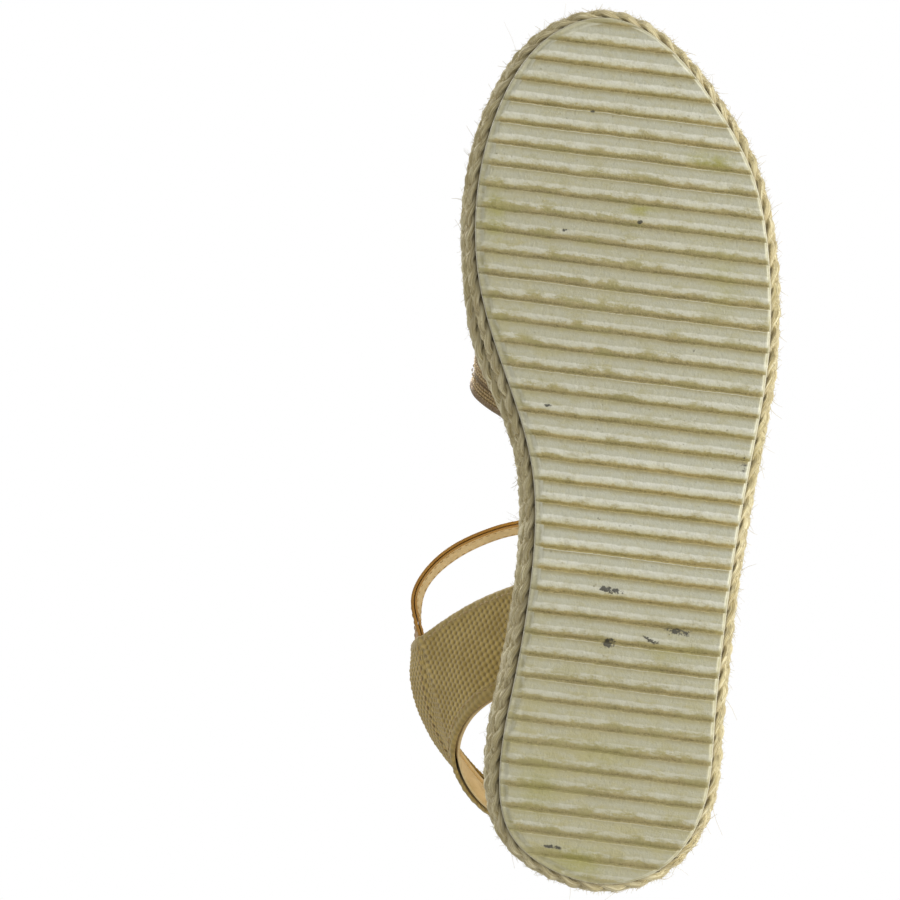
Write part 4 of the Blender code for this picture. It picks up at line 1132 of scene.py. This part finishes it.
def vamp_grid(across_count, along_count):
    """The band's inner face, its outward normals, its two coordinates and the length of its crown."""
    fine = np.linspace(0, 1, 600)
    crown = vamp_points(fine, np.full(600, 0.5))
    at = lengths_along(crown)
    across = np.interp(np.linspace(0, at[-1], across_count), at, fine)
    across, along = np.meshgrid(across, np.linspace(0, 1, along_count), indexing="ij")
    points = vamp_points(across, along)
    normals = normals_of(points)
    if normals[across_count // 2, along_count // 2, 2] < 0:
        normals = -normals
    return points, normals, across, along, at[-1]


def add_slab(shape, outer, inner, **facts):
    """A closed sheet from its detailed outer face and a plainer inner face of as many rows."""
    ring = np.concatenate([outer, inner[:, ::-1]], axis=1)
    count = inner.shape[1]
    padded = {name: np.hstack([value, np.repeat(value[:, :1], count, axis=1)])
              for name, value in facts.items()}
    at = lengths_along(outer[:, outer.shape[1] // 2])
    down = np.concatenate([lengths_along(outer[len(outer) // 2]), np.zeros(count + 1)])
    uv = crossed(at, down)
    shape.grid(ring, caps=True, uv=uv, **padded)


def make_vamp():
    points, normals, across, along, length = vamp_grid(KNIT_COLUMNS, KNIT_ROWS * KNIT_STEPS + 1)
    row = along * KNIT_ROWS
    within = np.abs(row % 1 - 0.5) * 2
    stitch = across * length / KNIT_STITCH + 0.5 * within * np.where(np.floor(row) % 2 == 0, 1, -1)
    rib = np.sin(np.pi * (row % 1)).clip(0) ** 0.7
    ridge = rib * (0.68 + 0.32 * np.cos(2 * np.pi * stitch))
    stripe = ease((np.sin(2 * np.pi * row / 5 + 0.6) - 0.25) / 0.5)
    puff = 0.35 * MM * wobble(points, 15 * MM, 1) * np.sin(np.pi * across)
    skin = points + normals * (VAMP_SKIN + puff + KNIT_RIDGE * ridge * (1 - 0.45 * stripe))[..., None]
    columns = np.linspace(0, skin.shape[1] - 1, 12).astype(int)
    under = points[:, columns] + normals[:, columns] * KNIT_BACK
    for face in (skin, under):
        face[[0, -1], :, 2] -= BAND_TUCK
    shape = Shape()
    add_slab(shape, skin, under, ridge=ridge, stripe=stripe)
    band = shape.build("vamp_knit", KNIT, "sandal", ["vamp_outer"])

    points, normals, _, _, _ = vamp_grid(150, 60)
    shape = Shape()
    add_slab(shape, points + normals * CLOTH_FACES[1], points + normals * CLOTH_FACES[0])
    backer = shape.build("vamp_cloth", BACKING, "sandal", ["vamp_backer"])
    wrinkle = 0.12 * MM * wobble(points, 8 * MM, 4)
    under = points + normals * (LINER_FACES[0] + wrinkle.clip(0))[..., None]
    shape = Shape()
    add_slab(shape, points + normals * LINER_FACES[1], under)
    lining = shape.build("vamp_liner", LINING, "sandal", ["vamp_lining"])

    shape = Shape()
    stitches = Shape()
    points, normals, _, _, _ = vamp_grid(420, 41)
    for edge, sewn_at in ((0, 3), (-1, -4)):
        middle = points[:, edge] + normals[:, edge] * EDGING_LIFT
        at = lengths_along(middle)
        ribs = 1 + 0.05 * np.cos(2 * np.pi * at / (1.1 * MM))
        section = oval(EDGING_HALF_WIDTH, EDGING_HALF_THICKNESS, 16, 0.8)[None] * ribs[:, None, None]
        add_rope(shape, middle, normals[:, edge], section, folded=0.75, ridge=0.5)
        sewn = points[:, sewn_at] + normals[:, sewn_at] * BAND_SEAM_LIFT
        sew(stitches, sewn, functools.partial(read_curve, normals[:, edge]), *BAND_STITCH, first=1.5 * MM)
    shape.build("vamp_edging", KNIT, "sandal")
    stitches.build("vamp_stitches", THREAD, "sandal")


# Canvas heel sling.

THREAD_PITCH = 1.5 * MM
WEAVE_DEPTH = 0.46 * MM
TUNNEL_STATIONS = 460
WING_STATIONS = 190
FOOT_STATIONS = 24
FRONT_BOW = np.array([0, -1.9, 0.6]) * MM
PANEL_STATIONS = 118
HEM_WIDTH = 5.0 * MM
TURNED_FRONT = 3.2 * MM

# Section of the tunnel round the strap: across the strap, then away from the ankle.
TUNNEL_SECTION = np.array([
    (-7.6, 1.4), (-6.6, 1.7), (-4.5, 2.0), (-1, 2.15), (3, 2.1), (6.2, 1.9), (7.9, 1.3), (8.5, 0.1),
    (7.9, -1.6), (6.4, -2.9), (4.4, -3.45), (2.4, -3.5),
]) * MM
CANVAS_BODY = 0.75 * MM
CANVAS_STANDS_OFF = 1.15 * MM
PANEL_DEPTH = 0.85 * MM
FOLD_EDGE = 0.5 * MM
FOLD_HEIGHT = 0.35 * MM
LINER_BEHIND = 0.55 * MM
LINER_DEPTH = 0.7 * MM
CANVAS_STITCH = (3.0 * MM, 2.2 * MM, 0.22 * MM)


def weave_at(u, v, spot):
    """Height of a slightly uneven basket weave, 0 to 1, at distances along and down the cloth."""
    u, v = (way + 0.12 * MM * wobble(spot, 4 * MM, seed) for seed, way in enumerate((u, v)))
    return 0.5 + 0.5 * np.cos(np.pi * u / THREAD_PITCH) * np.cos(np.pi * v / THREAD_PITCH)


def make_tunnel():
    """The canvas tube at the sling's top, which holds the strap."""
    stations = np.linspace(loop.mouth - 0.3 * MM, loop.length + 0.3 * MM, TUNNEL_STATIONS)
    count = int(lengths_along(TUNNEL_SECTION)[-1] / (0.34 * MM))
    section = even_curve(TUNNEL_SECTION, count)
    outwards = unit(np.gradient(section, axis=0))
    outwards = np.column_stack([-outwards[:, 1], outwards[:, 0]])
    down = lengths_along(section)
    u, v = np.meshgrid(stations, down, indexing="ij")
    spot = np.stack([u, v, np.zeros_like(u)], axis=-1)
    height = weave_at(u, v, spot)
    pucker = 0.3 * MM * wobble(spot * (1, 0.4, 1), 6 * MM, 2) * np.sin(np.pi * v / down[-1])
    ends = np.minimum(stations - stations[0], stations[-1] - stations)
    folded = 1 - ease((ends - 2.4 * MM) / (0.8 * MM))
    lift = pucker + WEAVE_DEPTH * (height - 0.5) * (1 - 0.5 * folded[:, None]) + 0.2 * MM * folded[:, None]
    lift -= 0.7 * MM * (1 - ease(ends / (0.8 * MM)))[:, None]

    def skin(extra):
        place = section + outwards * extra[..., None]
        return loop.table(stations[:, None], place[..., 0], place[..., 1])

    sign = -1 if outwards[count // 4, 1] < 0 else 1
    outer = skin(lift * sign)
    columns = np.linspace(0, count - 1, 26).astype(int)
    inner = skin(np.full_like(lift, -CANVAS_BODY * sign))[:, columns]
    shape = Shape()
    add_slab(shape, outer, inner, weave=height, folded=np.broadcast_to(folded[:, None] * 0.8, height.shape))
    return shape.build("sling_tunnel", CANVAS, "sandal", ["sling_outer"])


def unrolled(points):
    """Distances round and up the cloth at each point of a grid, as on the uncut flat cloth."""
    last = len(points) - 1
    foot = np.linspace(0, FOOT_STATIONS, 5)
    between = np.linspace(FOOT_STATIONS, last - FOOT_STATIONS, 60)
    rows = np.concatenate([foot[:-1], between, last - foot[-2::-1]]).astype(int)
    columns = np.linspace(0, points.shape[1] - 1, 12).astype(int)
    coarse = points[np.ix_(rows, columns)]
    normals = normals_of(coarse)
    around = unit(np.cross((0, 0, 1), normals))
    upward = np.cross(normals, around)
    index = np.arange(coarse[..., 0].size).reshape(coarse.shape[:2])
    equations, steps = [], []
    for near, far in (((slice(None, -1),), (slice(1, None),)),
                      ((slice(None), slice(None, -1)), (slice(None), slice(1, None)))):
        step = coarse[far] - coarse[near]
        both = [np.sum(step * (way[far] + way[near]) / 2, axis=-1).ravel() for way in (around, upward)]
        matrix = np.zeros((step[..., 0].size, index.size))
        matrix[np.arange(len(matrix)), index[far].ravel()] = 1
        matrix[np.arange(len(matrix)), index[near].ravel()] = -1
        equations.append(matrix)
        steps.append(np.column_stack(both))
    flat = np.linalg.lstsq(np.vstack(equations), np.vstack(steps), rcond=None)[0]
    flat = flat.reshape(*index.shape, 2)
    full = []
    for k in range(2):
        tall = np.array([np.interp(np.arange(len(points)), rows, line) for line in flat[..., k].T]).T
        full.append(np.array([np.interp(np.arange(points.shape[1]), columns, line) for line in tall]))
    return full


def sling_columns():
    """The panel's middle surface: columns from the front edge or the tunnel's seam down to the hem."""
    stations = np.linspace(loop.mouth, loop.length, TUNNEL_STATIONS)[::-1]
    band_low = loop.points(stations, -SLING_BAND, 0)
    y = np.linspace(*SLING_ANCHOR, PANEL_STATIONS)
    feet = {(inner, rise): np.column_stack([side_x(y, SLING_FOOT_OUTSET, inner), y, deck(y) + rise])
            for inner in (True, False) for rise in SLING_FOOT_RISE}
    low, high = SLING_FOOT_RISE
    hem_path = np.vstack([feet[True, high][-1], SLING_HEM, feet[False, high][-1]])
    share = np.linspace(0, 1, WING_STATIONS + 1)[1:-1, None]
    bow = np.sin(np.pi * share) * FRONT_BOW
    inner_edge, outer_edge = (
        foot + (band - foot) * share + bow
        for foot, band in ((feet[True, high][0], band_low[0]), (feet[False, high][0], band_low[-1])))
    top_edge = np.vstack([inner_edge, band_low, outer_edge[::-1]])
    hem = even_curve(hem_path, len(top_edge) + 2)[1:-1]
    v = np.linspace(0, 1, PANEL_STATIONS)[:, None]
    climb = np.linspace(0, 1, FOOT_STATIONS)
    columns = [feet[True, low] + (feet[True, high] - feet[True, low]) * rise for rise in climb]
    columns += [upper + (lower - upper) * v for upper, lower in zip(top_edge, hem)]
    columns += [feet[False, high] + (feet[False, low] - feet[False, high]) * rise for rise in climb]
    return np.array(columns)


def folds_at(v, reach):
    """How much each point lies on a turned edge, and how much each column is under the tunnel."""
    wings = FOOT_STATIONS + WING_STATIONS - 1
    under_tunnel = np.zeros(len(v))
    under_tunnel[wings:len(v) - wings] = 1
    kernel = np.hanning(61)
    under_tunnel = np.convolve(under_tunnel, kernel / kernel.sum(), "same")[:, None]
    front = (1 - under_tunnel) * (1 - ease((v - TURNED_FRONT) / FOLD_EDGE))
    hem = 1 - ease((reach - v - HEM_WIDTH) / FOLD_EDGE)
    folded = np.maximum(front, hem)
    folded[:FOOT_STATIONS] = folded[-FOOT_STATIONS:] = 0
    return folded, under_tunnel


def sew_sling(skin, normals, v, reach):
    """Stitches along the tunnel's seam, the hem and the turned front edges."""
    columns = len(skin)
    wings = FOOT_STATIONS + WING_STATIONS
    shape = Shape()

    def sew_across(first, last, depth):
        """Stitches over some of the columns, each at its own depth under the top edge."""
        line, outward = (
            np.array([[np.interp(depth[k], v[k], part) for part in table[k].T] for k in range(first, last)])
            for table in (skin, normals))
        sew(shape, line, lambda at, want: unit(read_curve(outward, at, want)), *CANVAS_STITCH,
            first=1.5 * MM, last=1 * MM)

    near, far = FOOT_STATIONS + 2, columns - FOOT_STATIONS - 2
    front = np.full(columns, TURNED_FRONT - 0.7 * MM)
    sew_across(near, far, reach[:, 0] - HEM_WIDTH + 0.9 * MM)
    sew_across(near, wings - 2, front)
    sew_across(columns - wings + 2, far, front)
    stations = np.linspace(loop.mouth + 0.5 * MM, loop.length - 0.5 * MM, 300)
    line = loop.points(stations, -5.9 * MM, 1.95 * MM)
    sew(shape, line, loop.outward_from(stations), *CANVAS_STITCH)
    shape.build("sling_stitches", THREAD, "sandal")


def make_panel():
    """The sling's woven panel under the tunnel. Returns it with what its lining follows."""
    points = sling_columns()
    normals = normals_of(points)
    if np.sum(normals[:, 0] * (points[:, 0] - loop.centre.mean(axis=0))) < 0:
        normals = -normals
    u, rise = unrolled(points)
    v = np.linalg.norm(points - points[:, :1], axis=-1)
    reach = v[:, -1:]
    height = weave_at(u, rise, points)
    folded, under_tunnel = folds_at(v, reach)
    billow = 0.5 * MM * wobble(points, 22 * MM, 6) + 0.25 * MM * wobble(points, 8 * MM, 7)
    billow *= np.sin(np.pi * (v / reach).clip(0, 1))
    middle = CANVAS_STANDS_OFF + 0.5 * MM * under_tunnel * (1 - ease(v / (5 * MM))) + billow
    lift = middle + FOLD_HEIGHT * folded + WEAVE_DEPTH * (height - 0.5) * (1 - 0.35 * folded)
    rim = np.minimum(reach - v, np.where(under_tunnel > 0.5, 1.0, v))
    lift -= 0.8 * MM * (1 - ease(rim / (0.9 * MM)))
    skin = points + normals * lift[..., None]
    picks = np.linspace(0, PANEL_STATIONS - 1, 24).astype(int)
    under = points[:, picks] + normals[:, picks] * (middle[:, picks] - PANEL_DEPTH)[..., None]
    shape = Shape()
    add_slab(shape, skin, under, weave=height, folded=folded * 0.55)
    sew_sling(skin, normals, v, reach)
    panel = shape.build("sling_canvas", CANVAS, "sandal", ["sling_outer"])
    return panel, points, normals, billow


def make_sling_liner(points, normals, billow):
    """One lining behind the panel, and in the tunnel between the strap and the ankle."""
    picks = np.linspace(0, PANEL_STATIONS - 1, 60).astype(int)
    face = points[:, picks] - normals[:, picks] * (LINER_BEHIND - billow[:, picks])[..., None]
    back = face - normals[:, picks] * LINER_DEPTH
    shape = Shape()
    add_slab(shape, back, face)
    stations = np.linspace(loop.mouth + 0.4 * MM, loop.length - 0.4 * MM, 240)
    across = np.linspace(-7.6, 6.0, 14) * MM
    lift = np.interp(across, np.array([-7.6, -5.5, 6]) * MM, np.array([-1.0, -1.7, -1.7]) * MM)
    add_slab(shape, *(loop.table(stations[:, None], across, lift + extra) for extra in (-0.8 * MM, 0)))
    return shape.build("sling_liner", LINING, "sandal", ["sling_lining"])


def make_sling():
    panel, *surface = make_panel()
    tube = make_tunnel()
    lining = make_sling_liner(*(table[::4] for table in surface))


# Ankle strap, buckle and keepers.

LEATHER_FACES = (0, 1.0 * MM)
LINING_FACES = (-1.0 * MM, -0.28 * MM)
STRAP_HALF = STRAP_WIDTH / 2
TUCKED_IN = 9 * MM
TIP_TAPER = 5 * MM
SEAM_INSIDE = 1.7 * MM
STRAP_STITCH = (2.5 * MM, 1.8 * MM, 0.15 * MM)
STRAP_COLUMNS = 15
STRAP_EDGE_RADIUS = 0.3 * MM
WORN_HOLE_GROWTH = 0.45 * MM
HOLES_EACH_WAY = 2
PRONG_SLOT = ((-4, -3), (3.4, -3), (3.4, 3), (-4, 3))
PRONG_SLOT_HALF_WIDTH = 1.3 * MM
FRAME_CORNER = 2.0 * MM
KEEPER_FLOOR = -1.0 * MM
KEEPER_CORNER = 0.7 * MM
KEEPER_STATIONS = 110
# Cut edges sharper than this many degrees are shaded as edges.
SHARP_CUT = 40


def billet_lift(after_bar):
    """How far the billet's middle stands off the ankle line, by distance past the buckle's bar."""
    reach = np.linspace(-1.2, 1.2, 7) * MM
    return np.interp(after_bar[:, None] + reach, BILLET_PATH[:, 0], BILLET_PATH[:, 1]).mean(axis=1)


def strap_section(half_width, face):
    return rounded_strip(half_width, *face, STRAP_EDGE_RADIUS, STRAP_COLUMNS)


def add_strap(shape, path, face, widths=None):
    """A strip through (distance, lift) rows with its face's two heights, and its edges rounded."""
    ahead = unit(np.gradient(path, axis=0))
    if widths is None:
        widths = np.ones(len(path))
    rows = []
    for (distance, lift), (run, rise), width in zip(path, ahead, widths):
        section = strap_section(STRAP_HALF * width, face)
        rows.append(loop.points(distance - rise * section[:, 1], section[:, 0], lift + run * section[:, 1]))
    section = strap_section(STRAP_HALF, face)
    uv = crossed(path[:, 0], lengths_along(section, True))
    edge = ease((np.abs(section[:, 0]) - STRAP_HALF + 0.7 * MM) / (0.4 * MM))
    border = np.exp(-((np.abs(section[:, 0]) - STRAP_HALF + SEAM_INSIDE) / (0.5 * MM)) ** 2)
    shape.grid(np.array(rows), caps=True, uv=uv, edge=edge[None], border=border[None])


def sew_strap(name, stations, lifts):
    """Stitches on both faces of a strap, in two rows along its edges."""
    shape = Shape()
    for face, side in ((LEATHER_FACES[1], 1), (LINING_FACES[0], -1)):
        for edge in (-1, 1):
            across = edge * (STRAP_HALF - SEAM_INSIDE)
            line = loop.points(stations, across, lifts + face)
            outward = loop.outward_from(stations)
            sew(shape, line, lambda at, want: side * outward(at, want), *STRAP_STITCH, last=1.0 * MM)
    return shape.build(name, THREAD)


def bend_with_strap(piece, node=None):
    """Bake a piece's place into its mesh, and hide the frame's node that it stands for, if one is given."""
    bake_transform(piece)
    if node:
        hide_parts(node)


def make_tool(points):
    """A closed shape used only to cut with."""
    shape = Shape()
    shape.grid(points, caps=True)
    return shape.build("cutting_tool", TAN)


def cut_out(piece, tools):
    """Cut the tools' shapes out of a piece for good."""
    for tool in tools:
        modifier = piece.modifiers.new("cut", "BOOLEAN")
        modifier.object = tool
        modifier.solver = "EXACT"
    graph = bpy.context.evaluated_depsgraph_get()
    mesh = bpy.data.meshes.new_from_object(piece.evaluated_get(graph))
    piece.modifiers.clear()
    piece.data = mesh
    mesh.set_sharp_from_angle(angle=math.radians(SHARP_CUT))


def hole_tools():
    tools = []
    for number in range(-HOLES_EACH_WAY, HOLES_EACH_WAY + 1):
        at = np.array([loop.bar - HOLE_BEFORE_BAR + number * HOLE_PITCH])
        middle = loop.points(at, 0.0, billet_lift(at - loop.bar))[0]
        ahead, wide, outward = (loop.read(table, at)[0] for table in (loop.ahead, loop.wide, loop.outward))
        circle = oval(HOLE_RADIUS + WORN_HOLE_GROWTH * (number == 0), HOLE_RADIUS + 0.1 * MM, 28)
        rings = [middle + circle[:, :1] * ahead + circle[:, 1:] * wide + outward * reach
                 for reach in (-2.5 * MM, 2.5 * MM)]
        tools.append(make_tool(np.array(rings)))
    return tools


def make_billet():
    """The long end: out of the tunnel, through the buckle and both keepers, to its rounded tip."""
    tip = loop.bar + TIP_AFTER_BAR
    even = np.arange(-TUCKED_IN, tip - TIP_TAPER - 0.3 * MM, 0.9 * MM)
    stations = np.concatenate([even, tip - TIP_TAPER * np.linspace(1, 0, 12) ** 2])
    path = np.column_stack([stations, billet_lift(stations - loop.bar)])
    tools = hole_tools()
    widths = np.sqrt(np.clip(1 - (1 - (tip - stations) / TIP_TAPER).clip(0) ** 2, 0.16, 1))
    for name, face, look, node, slot in (
            ("billet_leather", LEATHER_FACES, TAN, "billet_outer", "tan_leather"),
            ("billet_liner", LINING_FACES, LINING, "billet_lining", "beige_lining")):
        shape = Shape()
        add_strap(shape, path, face, widths=widths)
        piece = shape.build(name, look)
        cut_out(piece, tools)
        bend_with_strap(piece, node)
    for tool in tools:
        bpy.data.objects.remove(tool, do_unlink=True)
    sewn = stations[(stations > 1 * MM) & (stations < tip - 3 * MM)]
    bend_with_strap(sew_strap("billet_stitches", sewn, billet_lift(sewn - loop.bar)))


def round_bar(radius, first, last, count):
    """An arc round the buckle's bar, as (distance, lift), from one angle to another in degrees."""
    turn = np.radians(np.linspace(first, last, count))
    return np.column_stack([radius * np.cos(turn), BAR_LIFT + radius * np.sin(turn)])


def make_buckle_strap():
    """The short end: out of the tunnel, round the buckle's bar and turned back under itself."""
    flat = np.arange(BAR_BEFORE_MOUTH + TUCKED_IN, 5.8 * MM, -0.8 * MM)
    flat = np.column_stack([flat, np.zeros(len(flat))])
    inner_face = np.vstack([flat, round_bar(WIRE + GAP, 75, 285, 28), TURNED_END])
    shape = Shape()
    add_strap(shape, inner_face + (loop.bar, 0), (-LEATHER_FACES[1], 0))
    leather = shape.build("buckle_leather", TAN)
    corners = np.array(PRONG_SLOT) * MM
    rings = [loop.points(loop.bar + corners[:, 0], side * PRONG_SLOT_HALF_WIDTH, corners[:, 1])
             for side in (-1, 1)]
    slot_tool = make_tool(np.array(rings))
    cut_out(leather, [slot_tool])
    bpy.data.objects.remove(slot_tool, do_unlink=True)
    stations = loop.bar + np.arange(LINING_AFTER_BAR, BAR_BEFORE_MOUTH + TUCKED_IN, 0.8 * MM)
    shape = Shape()
    add_strap(shape, np.column_stack([stations, np.zeros(len(stations))]), LINING_FACES)
    liner = shape.build("buckle_liner", LINING)
    stitches = sew_strap("buckle_stitches", stations[stations < loop.mouth - 1 * MM], 0.0)
    bend_with_strap(leather, "buckle_strap_outer")
    bend_with_strap(liner, "buckle_strap_lining")
    bend_with_strap(stitches)


def make_buckle():
    corners = np.array(rounded_box(FRAME_LENGTH / 2, -FRAME_HALF_WIDTH, FRAME_HALF_WIDTH, FRAME_CORNER, 10))
    around = evenly(np.roll(corners, 20, axis=0) - (FRAME_LENGTH / 2, 0), 130, closed=True)
    lift = BAR_LIFT + (FRAME_END_LIFT - BAR_LIFT) * (-around[:, 0] / FRAME_LENGTH)
    path = loop.points(loop.bar + around[:, 0], around[:, 1], lift)
    shape = Shape()
    add_rope(shape, path, loop.read(loop.outward, loop.bar)[0], oval(WIRE, WIRE, 22, 0.86), closed=True)
    shape.build("buckle_wire", BRASS, "buckle", ["buckle_frame"])

    hook = round_bar(WIRE + GAP + PRONG_WIRE, -110, 150, 26)
    bent = evenly(np.vstack([hook, PRONG_REACH]), 70)
    kernel = np.ones(5) / 5
    inner = np.column_stack([np.convolve(column, kernel, "valid") for column in bent.T])
    bent = np.vstack([bent[:1], inner, bent[-1:]])
    path = loop.points(loop.bar + bent[:, 0], 0.0, bent[:, 1])
    share = np.linspace(0, 1, len(path))
    ends = np.sqrt(np.clip(np.minimum(share, 1 - share) / 0.015, 0.05, 1))
    grow = ends * (1 - 0.25 * ease((share - 0.6) / 0.4))
    section = oval(PRONG_WIRE, PRONG_WIRE, 18, 0.9)[None] * grow[:, None, None]
    shape = Shape()
    add_rope(shape, path, loop.read(loop.wide, loop.bar)[0], section)
    shape.build("prong_wire", BRASS, "prong", ["buckle_prong"])


def make_keeper(name, node, body, after_bar, clearance):
    """A leather loop round the billet and the strap under it."""
    half = STRAP_HALF + clearance + KEEPER_WALL / 2
    low = KEEPER_FLOOR - clearance - KEEPER_WALL / 2
    high = billet_lift(np.array([after_bar]))[0] + LEATHER_FACES[1] + clearance + KEEPER_WALL / 2
    corners = np.array(rounded_box(half, low, high, KEEPER_CORNER, 7))
    around = evenly(corners, KEEPER_STATIONS, closed=True)
    section = rounded_strip(KEEPER_WIDTH / 2, -KEEPER_WALL / 2, KEEPER_WALL / 2, 0.28 * MM, 9)
    spot = around[:, None] - outward_round(around)[:, None] * section[:, 1:]
    points = loop.table(loop.bar + after_bar + section[:, 0], spot[..., 0], spot[..., 1])
    uv = crossed(np.linspace(0, lengths_along(corners, True)[-1], KEEPER_STATIONS + 1),
                 lengths_along(section, True))
    edge = ease((np.abs(section[:, 0]) - KEEPER_WIDTH / 2 + 0.6 * MM) / (0.4 * MM))
    shape = Shape()
    shape.grid(points, loop=True, uv=uv, edge=edge[None])
    shape.build(name, TAN, body, [node])


# The plain inner parts are the frame's own solids.
for node, look in (("wedge_core", FOAM), ("insole_board", BOARD), ("strap_back_outer", TAN),
                   ("strap_back_lining", LINING)):
    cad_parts[node].data.materials[0] = look

make_outsole()
make_braids()
make_footbed()
make_vamp()
make_sling()
make_billet()
make_buckle_strap()
make_buckle()
make_keeper("fixed_loop", "fixed_keeper", "ankle_strap", FIXED_KEEPER_AT, 0.35 * MM)
make_keeper("sliding_loop", "sliding_keeper", "keeper", SLIDING_KEEPER_AT, 0.85 * MM)


# Camera, lights and floor. The camera looks straight up at the tread.

CAMERA_PLACE = (-0.0464, -0.0003, -1.0)
CAMERA_LENS = 134.6
LAMP_TARGET = (0, 0, 0.04)
WORLD_LIGHT = 0.5
FLOOR_REACH = 3
FLOOR_HEIGHT = -0.0002
FLOOR_COLOUR = (0.8, 0.79, 0.77, 1)


def make_lamp(kind, name, location, power, **settings):
    """A lamp that shines at the sandal's middle."""
    data = bpy.data.lights.new(name, kind)
    data.energy = power
    for key, value in settings.items():
        setattr(data, key, value)
    lamp = add_object(name, data)
    lamp.location = location
    lamp.rotation_euler = (Vector(LAMP_TARGET) - lamp.location).to_track_quat("-Z", "Y").to_euler()


def mix_shaders(tree, choice, first, second):
    """A shader that is first where choice is 0 and second where it is 1, wired to the output."""
    either = tree.nodes.new("ShaderNodeMixShader")
    for socket, source in zip(either.inputs, (choice, first, second)):
        tree.links.new(source, socket)
    tree.links.new(either.outputs[0], tree.get_output_node("ALL").inputs["Surface"])


def make_camera():
    data = bpy.data.cameras.new("photo_view")
    data.sensor_width = 36
    data.lens = CAMERA_LENS
    data.clip_start = 0.01
    data.dof.use_dof = False
    camera = add_object("photo_view", data)
    camera.location = CAMERA_PLACE
    camera.rotation_euler = (math.pi, 0, 0)
    bpy.context.scene.camera = camera


def make_world():
    """White where the camera sees it, softer as a light."""
    world = bpy.data.worlds.new("studio")
    world.use_nodes = True
    nodes = world.node_tree.nodes
    nodes["Background"].inputs["Color"].default_value = (1, 1, 1, 1)
    nodes["Background"].inputs["Strength"].default_value = WORLD_LIGHT
    seen = nodes.new("ShaderNodeBackground")
    seen.inputs["Color"].default_value = (1, 1, 1, 1)
    seen.inputs["Strength"].default_value = 1.0
    is_seen = nodes.new("ShaderNodeLightPath").outputs["Is Camera Ray"]
    mix_shaders(world.node_tree, is_seen, nodes["Background"].outputs[0], seen.outputs[0])
    bpy.context.scene.world = world


def make_floor():
    """A pale floor that can only be seen from above, because the tread is seen from under it."""
    mesh = bpy.data.meshes.new("floor")
    corners = [(-1, -1), (1, -1), (1, 1), (-1, 1)]
    mesh.from_pydata([(x * FLOOR_REACH, y * FLOOR_REACH, FLOOR_HEIGHT) for x, y in corners], [],
                     [(0, 1, 2, 3)])
    floor = add_object("floor", mesh)
    material = bpy.data.materials.new("pale_floor")
    material.use_nodes = True
    nodes = material.node_tree.nodes
    nodes.remove(nodes["Principled BSDF"])
    matt = nodes.new("ShaderNodeBsdfDiffuse")
    matt.inputs["Color"].default_value = FLOOR_COLOUR
    clear = nodes.new("ShaderNodeBsdfTransparent")
    from_under = nodes.new("ShaderNodeNewGeometry").outputs["Backfacing"]
    mix_shaders(material.node_tree, from_under, matt.outputs[0], clear.outputs[0])
    mesh.materials.append(material)
    for ray in ("diffuse", "glossy", "transmission", "shadow"):
        setattr(floor, f"visible_{ray}", False)


make_camera()
make_world()
make_floor()
for name, location, size, power, colour in (
        ("under_side", (0.95, 0.1, -0.5), 0.9, 10, (1, 0.985, 0.96)),
        ("under_toe", (0.85, -0.6, -0.3), 0.6, 3, (1, 0.99, 0.97)),
        ("under_soft", (0.3, 0.25, -1.25), 1.4, 5, (0.99, 0.99, 1)),
        ("over_key", (-0.8, -1.0, 1.6), 1.2, 10, (1, 0.985, 0.96))):
    make_lamp("AREA", name, location, power, shape="SQUARE", size=size, color=colour)
make_lamp("SUN", "over_sky", (-0.7, -0.9, 1.8), 1.7, angle=math.radians(40))
bpy.context.scene.view_settings.view_transform = "Standard"
